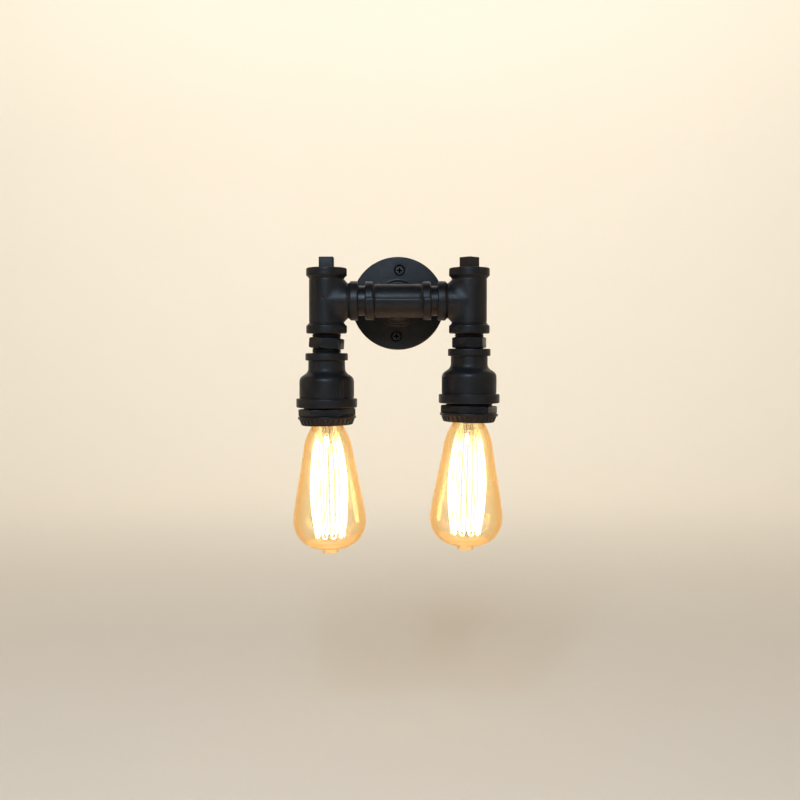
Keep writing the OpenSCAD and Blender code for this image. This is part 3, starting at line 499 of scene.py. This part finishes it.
for side in SIDES:
    head = bmesh.new()
    bmesh.ops.create_cube(head, size=1)
    bmesh.ops.scale(head, verts=head.verts,
                    vec=(PLUG_SQUARE * MM, PLUG_SQUARE * MM, (PLUG_HEAD + 1) * MM))
    bmesh.ops.translate(head, vec=(0, 0, (PLUG_HEAD - 1) / 2 * MM), verts=head.verts)
    uprights = [e for e in head.edges if abs(e.verts[0].co.z - e.verts[1].co.z) > MM]
    rounded(head, uprights, 1.15, 5)
    top = [e for e in head.edges if all(v.co.z > (PLUG_HEAD - 0.01) * MM for v in e.verts)]
    rounded(head, top, 0.7, 3)
    turn = Matrix.Rotation(math.radians(PLUG_TURN[side]), 4, "Z")
    place = ARM[side] @ Matrix.Translation((0, 0, OUTER_RUN / 2 * MM)) @ turn
    plug = piece_from(head, side + "_plug_cast", place)
    screwed = turned([(0, -PIPE_GRIP), (PIPE_END_R, -PIPE_GRIP)] + thread(PIPE_R, -11.2, -0.9)
                     + [(12.9, -0.5), (12.4, 0), (0, 0)], closed=False)
    combine(plug, [piece_from(screwed, "screwed", place)], "UNION")
    fit(plug, side + "_arm", side + "_plug", CAST_BLACK)

# ---- Hexagon nipples ----
# Machined steel, a hexagon for the wrench between two threads. The left one's hexagon was cut
# a little out of square, and a turn or two of thread shows at each side.


def hexagon(across, height, trim):
    """A hexagon about the origin with its corners turned off at both ends."""
    corner, cuts = across / math.sqrt(3), 60
    bm = bmesh.new()
    bmesh.ops.create_cone(bm, cap_ends=True, cap_tris=False, segments=6, radius1=corner * MM,
                          radius2=corner * MM, depth=height * MM)
    bmesh.ops.rotate(bm, cent=(0, 0, 0), verts=bm.verts,
                     matrix=Matrix.Rotation(math.radians(30), 3, "Z"))
    for end in (-1, 1):
        for i in range(cuts):
            angle = math.tau * (i + 0.5) / cuts
            way = Vector((math.cos(angle), math.sin(angle), 0))
            found = bmesh.ops.bisect_plane(
                bm, geom=bm.verts[:] + bm.edges[:] + bm.faces[:], dist=0.0005 * MM,
                plane_co=way * (corner - 2 * trim) * MM + Vector((0, 0, end * height / 2 * MM)),
                plane_no=(way.x, way.y, 2 * end), clear_outer=True)
            rim = [e for e in found["geom_cut"] if isinstance(e, bmesh.types.BMEdge)]
            if rim:
                bmesh.ops.holes_fill(bm, edges=rim, sides=0)
    return bm


def soften(piece, width, angle=25):
    """Takes the sharpness off a machined piece's edges."""
    edge = piece.modifiers.new("edge", "BEVEL")
    edge.width, edge.segments, edge.limit_method = width * MM, 2, "ANGLE"
    edge.angle_limit, edge.harden_normals = math.radians(angle), False
    return settle(piece)


NIPPLE_HEX, NIPPLE_ACROSS, HEX_TURN = 9.2, 27, 13
HEX_BORE_R, HEX_END_R, NECK_R, SHOWN_THREAD_R = 8.5, 12.1, 12.0, 12.75
HEX_TOP = {"left": -32.4, "right": -31.8}
SHOWN_ABOVE = {"left": 3.9, "right": 3.3}
SHOWN_BELOW = {"left": 4.0, "right": 0.7}
HEX_TILT = {"left": 3.5, "right": 0.0}
for side in SIDES:
    above, below = SHOWN_ABOVE[side], SHOWN_BELOW[side]
    place = ARM[side] @ Matrix.Translation((0, 0, HEX_TOP[side] * MM))
    tilt = (Matrix.Rotation(math.radians(HEX_TILT[side]), 4, "Y")
            @ Matrix.Rotation(math.radians(HEX_TURN), 4, "Z"))
    nut = piece_from(hexagon(NIPPLE_ACROSS, NIPPLE_HEX, 0.8), side + "_hex_nipple_steel",
                     place @ Matrix.Translation((0, 0, -NIPPLE_HEX / 2 * MM)) @ tilt)
    soften(nut, 0.25)
    low = -NIPPLE_HEX - below
    stem = ([(HEX_BORE_R, low - PIPE_GRIP), (HEX_END_R, low - PIPE_GRIP)]
            + thread(PIPE_R, low - 11.2, low - 0.4)
            + thread(SHOWN_THREAD_R, low, -NIPPLE_HEX - 0.3, depth=0.7)
            + [(NECK_R, -NIPPLE_HEX), (NECK_R, 0)]
            + thread(SHOWN_THREAD_R, 0.3, above, depth=0.7)
            + thread(PIPE_R, above + 0.4, above + 11.2)
            + [(HEX_END_R, above + PIPE_GRIP), (HEX_BORE_R, above + PIPE_GRIP)])
    bore = turned([(0, low - 14), (HEX_BORE_R, low - 14), (HEX_BORE_R, above + 14),
                   (0, above + 14)], closed=False)
    combine(nut, [piece_from(bore, "bore", place)])
    combine(nut, [piece_from(turned(stem), "stem", place)], "UNION")
    fit(nut, side + "_arm", side + "_hex_nipple", PIPE_BLACK)

# ---- Bells ----
# Reducing sockets, cast like the tees. Two ribs stand on each where the mould's halves met,
# and a beaded rim stiffens the mouth.

BELL_MOUTH = {"left": -93.1, "right": -89.2}
BELL_LENGTH, BELL_BAND, NECK_BAND = 47.5, 8.2, 6.7
BELL_BODY_R, BELL_NECK_R, PAST_BAND = 23.9, 16.1, 0.3
for side in SIDES:
    bell = casting(side + "_bell", side + "_bell_cast")
    mouth = ARM[side] @ Matrix.Translation((0, 0, BELL_MOUTH[side] * MM))
    creased(bell, mouth.inverted(), (BELL_BAND + PAST_BAND,), BELL_BODY_R, 0.65)
    creased(bell, mouth.inverted(), (BELL_LENGTH - NECK_BAND - PAST_BAND,), BELL_NECK_R)
    fit(bell, side + "_arm", side + "_bell", CAST_BLACK)

# ---- Bushings ----
# A hexagon bushing screws into each bell's mouth, a turn or two short of home, and grips the
# lampholder. It leans inwards a little with the lampholder in it.

HOLDER_Z = {"left": -94.1, "right": -91.3}
HOLDER_LEAN = math.radians(-1.4)
HOLDER = {side: ARM[side] @ Matrix.Translation((0, 0, HOLDER_Z[side] * MM))
          @ Matrix.Rotation(HOLDER_LEAN, 4, "Y") for side in SIDES}
BUSH_HEX, BUSH_ACROSS, BUSH_BORE_R, BUSH_THREAD_R = 6.5, 43.3, 19.0, 20.85
BUSH_TURN = {"left": 0, "right": 7}
for side in SIDES:
    spin = Matrix.Rotation(math.radians(BUSH_TURN[side]), 4, "Z")
    bushing = piece_from(hexagon(BUSH_ACROSS, BUSH_HEX, 0.7), side + "_bushing_steel",
                         HOLDER[side] @ Matrix.Translation((0, 0, -BUSH_HEX / 2 * MM)) @ spin)
    soften(bushing, 0.3)
    bore = turned([(0, -20), (BUSH_BORE_R, -20), (BUSH_BORE_R, 20), (0, 20)], closed=False)
    combine(bushing, [piece_from(bore, "bore", HOLDER[side])])
    screwed = ([(BUSH_BORE_R, -1), (20.2, -1)]
               + thread(BUSH_THREAD_R, -0.2, 12.2, pitch=2.31, depth=1.0)
               + [(20.0, 13), (BUSH_BORE_R, 13)])
    combine(bushing, [piece_from(turned(screwed), "screwed", HOLDER[side])], "UNION")
    fit(bushing, side + "_arm", side + "_bushing", PIPE_BLACK)

# ---- Lampholders ----
# Moulded phenolic skirt and cap, with a steatite contact block, brass contacts and the threaded
# brass shell that takes the bulb's cap. Only the skirt's rim shows, inside the shade ring.

PHENOLIC = plain("moulded_phenolic", (0.0095, 0.0082, 0.0076), 0.34, 0.25, scale=900, depth=0.02,
                 specular=0.25)
RING_FOOT = -14.4
SKIRT_FOOT, SKIRT_TOP, SKIRT_R, SKIRT_BORE_R, SKIRT_PITCH = RING_FOOT + 1.0, 12.0, 18.9, 16.4, 2.0
for side in SIDES:
    skirt = turned([(SKIRT_BORE_R, SKIRT_TOP), (SKIRT_BORE_R, SKIRT_FOOT + 0.5),
                    (16.7, SKIRT_FOOT), (18.5, SKIRT_FOOT)]
                   + thread(SKIRT_R, SKIRT_FOOT + 0.5, -6.9, SKIRT_PITCH, 0.5)
                   + [(SKIRT_R, -6.3), (SKIRT_R, SKIRT_TOP)])
    fit(piece_from(skirt, side + "_holder_skirt_moulded", HOLDER[side]),
        side + "_arm", side + "_holder_skirt", PHENOLIC)
    for node, finish in {"holder_cap": PHENOLIC, "contact_block": PORCELAIN,
                         "centre_contact": BRASS, "terminal_screws": BRASS,
                         "screw_shell": BRASS}.items():
        coat(side + "_" + node, finish)

# ---- Shade rings ----
# A phenolic ring screws up the lampholder's skirt under the bushing, to hold a shade. It has
# a thin rim and a tapered skirt with ribs for the fingers.

RING_TOP, RING_RIM = -6.53, 2.37
RIM_FOOT = RING_TOP - RING_RIM
FOOT_R, TAPER_TOP_R, RIM_R, RING_ROUND = 21.7, 23.8, 25.4, 0.5
RIBS, RIB_SIZE, RIB_R, RIB_ROUND = 30, (1.0, 1.8, 5.0), 22.75, 0.35
RING_LEAN = math.atan2(TAPER_TOP_R - FOOT_R, RIM_FOOT - RING_FOOT)
for side in SIDES:
    ring = turned(
        [(19.3, RING_FOOT + 0.3), (19.6, RING_FOOT)]
        + arc((FOOT_R - RING_ROUND, RING_FOOT + RING_ROUND), RING_ROUND, 270, 340, 3)
        + [(TAPER_TOP_R - 0.2, RIM_FOOT - 0.3), (TAPER_TOP_R + 0.15, RIM_FOOT)]
        + arc((RIM_R - RING_ROUND, RIM_FOOT + RING_ROUND), RING_ROUND, 270, 360, 3)
        + arc((RIM_R - RING_ROUND, RING_TOP - RING_ROUND), RING_ROUND, 0, 90, 3)
        + [(19.5, RING_TOP)] + thread(19.55, RING_TOP - 0.4, RING_FOOT + 0.6, SKIRT_PITCH, 0.35))
    for i in range(RIBS):
        rib = bmesh.ops.create_cube(ring, size=1)["verts"]
        bmesh.ops.scale(ring, vec=Vector(RIB_SIZE) * MM, verts=rib)
        outer = [e for e in ring.edges if all(v in rib and v.co.x > 0 for v in e.verts)]
        soft = rounded(ring, outer, RIB_ROUND, 2)["verts"]
        rib = list({v for v in rib if v.is_valid} | set(soft))
        place = (Matrix.Rotation(math.tau * i / RIBS, 4, "Z")
                 @ Matrix.Translation((RIB_R * MM, 0, (RING_FOOT + 2.75) * MM))
                 @ Matrix.Rotation(RING_LEAN, 4, "Y"))
        bmesh.ops.transform(ring, matrix=place, verts=rib)
    fit(piece_from(ring, side + "_shade_ring_moulded", HOLDER[side], 30),
        side + "_ring", side + "_shade_ring", PHENOLIC)

# ---- Bulb caps ----
# Rolled brass screw caps with their round thread, a disc of black glass in the end, and
# a soldered contact. The glass neck is cemented into the cap.

BULB_RIM = -13.9
CAP_R, CAP_WALL, CAP_SLEEVE, CAP_TOP = 13.15, 0.4, 5.5, 8.7
THREAD_MEAN_R, THREAD_SWING, THREAD_PITCH, TURN_POINTS, THREAD_TURNS = 12.7, 0.45, 3.629, 8, 4
BLACK_GLASS = plain("black_glass", (0.01, 0.01, 0.011), 0.12, 0.2)
TINNED = plain("tinned_contact", (0.62, 0.62, 0.6), 0.36, metallic=1.0)
for side in SIDES:
    wall = [(CAP_R, BULB_RIM), (CAP_R, BULB_RIM + CAP_SLEEVE)]
    for i in range(THREAD_TURNS * TURN_POINTS + 1):
        wall.append((THREAD_MEAN_R + THREAD_SWING * math.cos(math.tau * i / TURN_POINTS),
                     BULB_RIM + CAP_SLEEVE + THREAD_PITCH * i / TURN_POINTS))
    wall += [(12.9, BULB_RIM + 20.2), (11.2, CAP_TOP)]
    inner = [(r - CAP_WALL, h) for r, h in reversed(wall)]
    fit(piece_from(turned(wall + inner), side + "_bulb_cap_rolled", HOLDER[side]),
        side + "_bulb", side + "_bulb_cap", BRASS)
    coat(side + "_bulb_insulator", BLACK_GLASS)
    coat(side + "_bulb_contact", TINNED)

# ---- Bulb glass ----
# A blown pear of amber glass, narrow at the neck and full near the foot, with the nub where
# it was sealed. The tint is faint face on and deep where the wall is seen on edge.


def bend(a, b, c, d, steps=14):
    """Points on a cubic curve, for blown outlines."""
    points = []
    for i in range(steps + 1):
        t, u = i / steps, 1 - i / steps
        points.append(tuple(u ** 3 * a[k] + 3 * u * u * t * b[k] + 3 * u * t * t * c[k]
                            + t ** 3 * d[k] for k in (0, 1)))
    return points


def tinted_glass(name, face, edge, shine, edge_power=2.2, haze=0.3):
    """Thin clear glass: colour by how much wall is looked through, with the room's lights on it."""
    f = Finish(name)
    facing = f.add("ShaderNodeLayerWeight", inputs={"Blend": 0.5}, output="Facing")
    pale = f.add("ShaderNodeBsdfTransparent", inputs={"Color": (*face, 1)})
    deep = f.add("ShaderNodeBsdfTransparent", inputs={"Color": (*edge, 1)})
    tint = f.add("ShaderNodeMixShader", inputs={0: facing ** edge_power, 1: pale, 2: deep})
    sharp, soft = [f.add("ShaderNodeBsdfPrincipled", inputs={
        "Base Color": (1, 1, 1, 1), "Metallic": 1.0, "Roughness": blur}) for blur in (0.04, 0.5)]
    gloss = f.add("ShaderNodeMixShader", inputs={0: haze, 1: sharp, 2: soft})
    glint = f.add("ShaderNodeMath", {"operation": "MULTIPLY", "use_clamp": True},
                  {0: facing ** 4.0 * 0.5 + shine, 1: 1.0})
    return f.close(f.add("ShaderNodeMixShader", inputs={0: glint, 1: tint, 2: gloss}))


AMBER = tinted_glass("amber_glass", (1.0, 0.964, 0.875), (0.98, 0.73, 0.27), 0.09, 1.75, 0.25)
BULB_LENGTH, BULB_R, GLASS_WALL, NECK, NUB_ROUND = 113.2, 32.0, 0.8, 12.6, 1.9
GLASS_FOOT = BULB_RIM - BULB_LENGTH
flank_top = (BULB_R * 0.678, BULB_RIM - 22.5)
widest = (BULB_R, BULB_RIM - 83.8)
nub = (7.5, BULB_RIM - 109.8)
blown = ([(NECK, BULB_RIM + 5), (NECK, BULB_RIM + 0.2)]
         + bend((NECK + 0.2, BULB_RIM - 0.2), (BULB_R * 0.475, BULB_RIM - 3.5),
                (BULB_R * 0.62, BULB_RIM - 10.5), flank_top)[:-1]
         + bend(flank_top, (BULB_R * 0.744, BULB_RIM - 38), (BULB_R * 0.978, BULB_RIM - 71),
                widest, 20)[:-1]
         + bend(widest, (BULB_R, BULB_RIM - 95), (BULB_R * 0.8125, BULB_RIM - 107.5), nub, 18)
         + arc((nub[0] - NUB_ROUND, GLASS_FOOT + NUB_ROUND), NUB_ROUND, 20, -70, 5)
         + [(2.5, GLASS_FOOT + 0.07), (0, GLASS_FOOT)])
inside = []
for i, (r, h) in enumerate(blown):
    before, after = blown[max(i - 1, 0)], blown[min(i + 1, len(blown) - 1)]
    run = Vector((after[0] - before[0], after[1] - before[1])).normalized()
    inside.append((max(r + GLASS_WALL * run.y, 0), h - GLASS_WALL * run.x))
for side in SIDES:
    glass = piece_from(turned(blown + inside[::-1]), side + "_bulb_glass_blown", HOLDER[side], 60)
    fit(glass, side + "_bulb", side + "_bulb_glass", AMBER)

# ---- Bulb stems ----
# A glass flare closes the neck and is pinched flat round the lead wires. A thin rod goes on
# down the middle with a bead at each end of the cage, where the support wires are set.

CLEAR = tinted_glass("clear_glass", (0.97, 0.965, 0.94), (0.62, 0.6, 0.55), 0.06, 1.6)
PRESS_FOOT, TOP_BEAD = BULB_RIM - 17, BULB_RIM - 22
CAGE_TOP, CAGE_FOOT = BULB_RIM - 9, BULB_RIM - 97
CAGE_TOP_R, CAGE_BULGE_R, CAGE_FOOT_R, STRANDS = 10.0, 21.0, 12.5, 20
HALF_STEP = math.pi / STRANDS
FOOT_BEAD = CAGE_FOOT - CAGE_FOOT_R * math.sin(HALF_STEP)
STEM_R, STEM_BORE_R, FLARE_R, ROD_R, BEAD_R = 4.8, 3.8, 11.6, 1.4, 2.4
FLARE = BULB_RIM + 4
stem = ([(0, PRESS_FOOT), (3.6, PRESS_FOOT), (4.6, PRESS_FOOT + 0.8), (STEM_R, PRESS_FOOT + 2),
         (STEM_R, BULB_RIM - 3)]
        + bend((STEM_R, BULB_RIM - 3), (STEM_R, BULB_RIM - 0.5), (9.6, BULB_RIM + 2.6),
               (FLARE_R, FLARE), 8)[1:]
        + [(FLARE_R - 1, FLARE)]
        + bend((FLARE_R - 1, FLARE), (8.8, BULB_RIM + 2.6), (STEM_BORE_R, BULB_RIM),
               (STEM_BORE_R, BULB_RIM - 2.4), 8)[1:]
        + [(STEM_BORE_R, PRESS_FOOT + 6), (2.4, PRESS_FOOT + 4), (0, PRESS_FOOT + 4)])
bead = [(BEAD_R * math.sin(math.radians(a)), math.cos(math.radians(a))) for a in range(40, 141, 20)]
rod_outline = ([(0, PRESS_FOOT + 1.5), (ROD_R, PRESS_FOOT + 1.2)]
               + [(r, TOP_BEAD + h) for r, h in bead]
               + [(ROD_R, TOP_BEAD - 1.4), (ROD_R, FOOT_BEAD + 1.4)]
               + [(r, FOOT_BEAD + h) for r, h in bead] + [(0, FOOT_BEAD - 1)])
for side in SIDES:
    tube = turned(stem, closed=False, steps=48)
    for v in tube.verts:
        flat = max(0, min(1, (PRESS_FOOT + 8 - v.co.z / MM) / 6))
        v.co.y *= 1 - 0.66 * flat
        v.co.x *= 1 + 0.04 * flat
    rod = turned(rod_outline, closed=False, steps=32)
    holding = bpy.data.meshes.new("rod")
    rod.to_mesh(holding)
    rod.free()
    tube.from_mesh(holding)
    fit(piece_from(tube, side + "_bulb_stem_blown", HOLDER[side], 50),
        side + "_bulb", side + "_bulb_stem", CLEAR)

# ---- Support and lead wires ----
# Fine molybdenum wires set in the beads hook round every turn of the filament. Two thicker
# leads come from the press to its ends, and two go up the stem to the cap.

MOLYBDENUM = plain("drawn_wire", (0.46, 0.43, 0.39), 0.34, metallic=1.0)
SUPPORT, LEAD = 0.4, 0.8
GAP_TURN = {"left": 0.0, "right": math.pi}


def strung(name, runs, thickness, place, sides=2):
    """Round wire along runs of points, in millimetres."""
    line = bpy.data.curves.new(name, "CURVE")
    line.dimensions, line.bevel_depth = "3D", thickness / 2 * MM
    line.bevel_resolution, line.use_fill_caps = sides, True
    for run in runs:
        spline = line.splines.new("POLY")
        spline.points.add(len(run) - 1)
        for point, at in zip(spline.points, run):
            point.co = (at[0] * MM, at[1] * MM, at[2] * MM, 1)
    drawn = bpy.data.objects.new(name + "_line", line)
    bpy.context.scene.collection.objects.link(drawn)
    graph = bpy.context.evaluated_depsgraph_get()
    bm = bmesh.new()
    bm.from_mesh(bpy.data.meshes.new_from_object(drawn.evaluated_get(graph)))
    bpy.data.objects.remove(drawn)
    return piece_from(bm, name, place, 60)


def round_at(angle, r, z):
    return (r * math.cos(angle), r * math.sin(angle), z)


def strand_angle(k):
    return math.pi / 2 + HALF_STEP + 2 * HALF_STEP * k


def turn_of(k, at_foot):
    """The filament's half turn after strand k, round its support."""
    r = CAGE_FOOT_R if at_foot else CAGE_TOP_R
    size = r * math.sin(HALF_STEP) * (-1 if at_foot else 1)
    level = CAGE_FOOT if at_foot else CAGE_TOP
    return [round_at(strand_angle(k + 0.5) - HALF_STEP * math.cos(math.radians(p)), r,
                     level + size * math.sin(math.radians(p))) for p in range(30, 151, 30)]


for side in SIDES:
    hooks = []
    for k in range(STRANDS - 1):
        angle = strand_angle(k + 0.5)
        if k % 2 == 0:
            r, z, bead_z = CAGE_FOOT_R, FOOT_BEAD, FOOT_BEAD
        else:
            r, z, bead_z = CAGE_TOP_R, CAGE_TOP + CAGE_TOP_R * math.sin(HALF_STEP), TOP_BEAD
        hooks.append([round_at(angle, 2.0, bead_z),
                      round_at(angle, 0.45 * r, bead_z + 0.35 * (z - bead_z)),
                      round_at(angle, r - 0.45, z)])
    place = HOLDER[side] @ Matrix.Rotation(GAP_TURN[side], 4, "Z")
    fit(strung(side + "_bulb_supports_drawn", hooks, SUPPORT, place),
        side + "_bulb", side + "_bulb_supports", MOLYBDENUM)
    leads = []
    for s in (-1, 1):
        end = math.pi / 2 - s * HALF_STEP
        leads.append([(s * 1.6, 0, PRESS_FOOT + 3.5), (s * 1.6, 0, CAP_TOP - 0.3)])
        leads.append([(s * 2.2, 0.8, PRESS_FOOT + 2), (s * 2.2, 1.6, PRESS_FOOT - 1.5),
                      (s * 1.9, 6.0, PRESS_FOOT + 1.5),
                      round_at(end, CAGE_TOP_R - 0.55, CAGE_TOP - 1)])
    fit(strung(side + "_bulb_leads_drawn", leads, LEAD, place),
        side + "_bulb", side + "_bulb_leads", MOLYBDENUM)

# ---- Filaments ----
# One long coiled wire zigzags up and down the cage, twenty strands in all. It glows nearly white,
# dimmer and yellower near the top, and its strands slacken a little between their hooks.

FILAMENT, STRAND_STEPS = 0.75, 10
HOT_BELOW, DULL_ABOVE = -150, -116
HOT, DULL = (1.0, 0.72, 0.38, 1), (0.07, 0.046, 0.021, 1)
SLACK_SEED = {"left": 7, "right": 11}
f = Finish("lit_filament")
height = f.add("ShaderNodeSeparateXYZ", inputs={0: f.where()}, output="Z")
LIT = f.close(f.add("ShaderNodeBsdfPrincipled", inputs={
    "Base Color": (0.9, 0.7, 0.4, 1), "Roughness": 0.6, "Emission Strength": 15.0,
    "Emission Color": f.blend(f.ramp(height, HOT_BELOW * MM, DULL_ABOVE * MM), HOT, DULL)}))
for side in SIDES:
    slack = random.Random(SLACK_SEED[side])
    path = []
    for k in range(STRANDS):
        drift, swell = slack.uniform(-0.35, 0.35), slack.uniform(-0.25, 0.25)
        strand = []
        for i in range(STRAND_STEPS + 1):
            u = i / STRAND_STEPS
            belly = math.sin(math.pi * u)
            r = ((1 - u) ** 2 * CAGE_TOP_R + 2 * u * (1 - u) * CAGE_BULGE_R
                 + u * u * CAGE_FOOT_R + swell * belly)
            angle = strand_angle(k) + drift * belly / r
            strand.append(round_at(angle, r, CAGE_TOP + (CAGE_FOOT - CAGE_TOP) * u))
        path += strand if k % 2 == 0 else strand[::-1]
        if k < STRANDS - 1:
            path += turn_of(k, k % 2 == 0)
    place = HOLDER[side] @ Matrix.Rotation(GAP_TURN[side], 4, "Z")
    fit(strung(side + "_bulb_filament_lit", [path], FILAMENT, place),
        side + "_bulb", side + "_bulb_filament", LIT)

# ---- Studio ----
# A pale floor that curves up all round into a pale wall. A cool soft light stands in front and
# above, weak warm ones at both sides and below, and two wash the wall and floor. The camera is
# in front of the lamp, level with its arms and tipped down a little, as for the photograph.

FLOOR_Z, FLOOR_R, COVE_R, WALL_TOP = -420, 1920, 1280, 9000
room = turned([(0, FLOOR_Z), (FLOOR_R, FLOOR_Z)]
              + arc((FLOOR_R, FLOOR_Z + COVE_R), COVE_R, 270, 360, 12)
              + [(FLOOR_R + COVE_R, WALL_TOP)], closed=False, steps=64)
floor = piece_from(room, "studio_floor")
f = Finish("studio_pale")
cloud = f.grain(1.3, 2.0)
floor.data.materials.append(f.close(f.add("ShaderNodeBsdfPrincipled", inputs={
    "Base Color": f.blend(cloud, (0.84, 0.77, 0.65, 1), (0.86, 0.79, 0.68, 1)), "Roughness": 0.9})))
floor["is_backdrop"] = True

world = bpy.data.worlds.new("studio_air")
world.use_nodes = True
world.node_tree.nodes["Background"].inputs["Color"].default_value = (0.90, 0.94, 1.0, 1)
world.node_tree.nodes["Background"].inputs["Strength"].default_value = 0.05
bpy.context.scene.world = world


def softbox(name, at, aim, size, power, colour):
    """An oblong soft light. Places and sizes are in metres, the power in watts."""
    data = bpy.data.lights.new(name, "AREA")
    data.shape, data.size, data.size_y = "RECTANGLE", size[0], size[1]
    data.energy, data.color = power, colour
    light = bpy.data.objects.new(name, data)
    bpy.context.scene.collection.objects.link(light)
    light.location = at
    light.rotation_euler = (Vector(aim) - Vector(at)).to_track_quat("-Z", "Y").to_euler()
    light.visible_camera = False


LAMP_MIDDLE = (0, -0.05, -0.08)
ON_FLOOR = FLOOR_Z * MM + 0.01
DAYLIGHT, LAMPLIGHT, PALE = (0.60, 0.79, 1.0), (1.0, 0.50, 0.22), (1.0, 0.98, 0.95)
softbox("key", (-0.25, -1.95, 1.05), LAMP_MIDDLE, (0.8, 0.85), 42, DAYLIGHT)
softbox("left", (-1.6, -0.25, 0.5), LAMP_MIDDLE, (0.5, 0.9), 3.0, LAMPLIGHT)
softbox("right", (1.6, -0.25, 0.5), LAMP_MIDDLE, (0.5, 0.9), 2.5, LAMPLIGHT)
softbox("low", (0, -0.6, ON_FLOOR), (0, -0.6, 0), (0.9, 0.4), 1.4, (1.0, 0.50, 0.20))
softbox("glow", (0, 0, ON_FLOOR), (0, 0, 0), (0.45, 0.3), 0.6, (1.0, 0.36, 0.08))
softbox("wash", (0, 1.3, 1.7), (0, 3.3, 0.9), (3.2, 0.7), 27, PALE)
softbox("floor", (0, 1.9, 1.9), (0, 2.3, FLOOR_Z * MM), (2.4, 1.2), 15, PALE)
bpy.context.scene.view_settings.view_transform = "Standard"

TIPPED_DOWN = 2.13
eye = bpy.data.cameras.new("camera")
eye.lens, eye.sensor_width = 48.8, 36.0
camera = bpy.data.objects.new("camera", eye)
bpy.context.scene.collection.objects.link(camera)
camera.location = (0.0018, -0.997, -0.0513)
camera.rotation_euler = (math.radians(90 - TIPPED_DOWN), 0, 0)
bpy.context.scene.camera = camera

low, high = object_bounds()
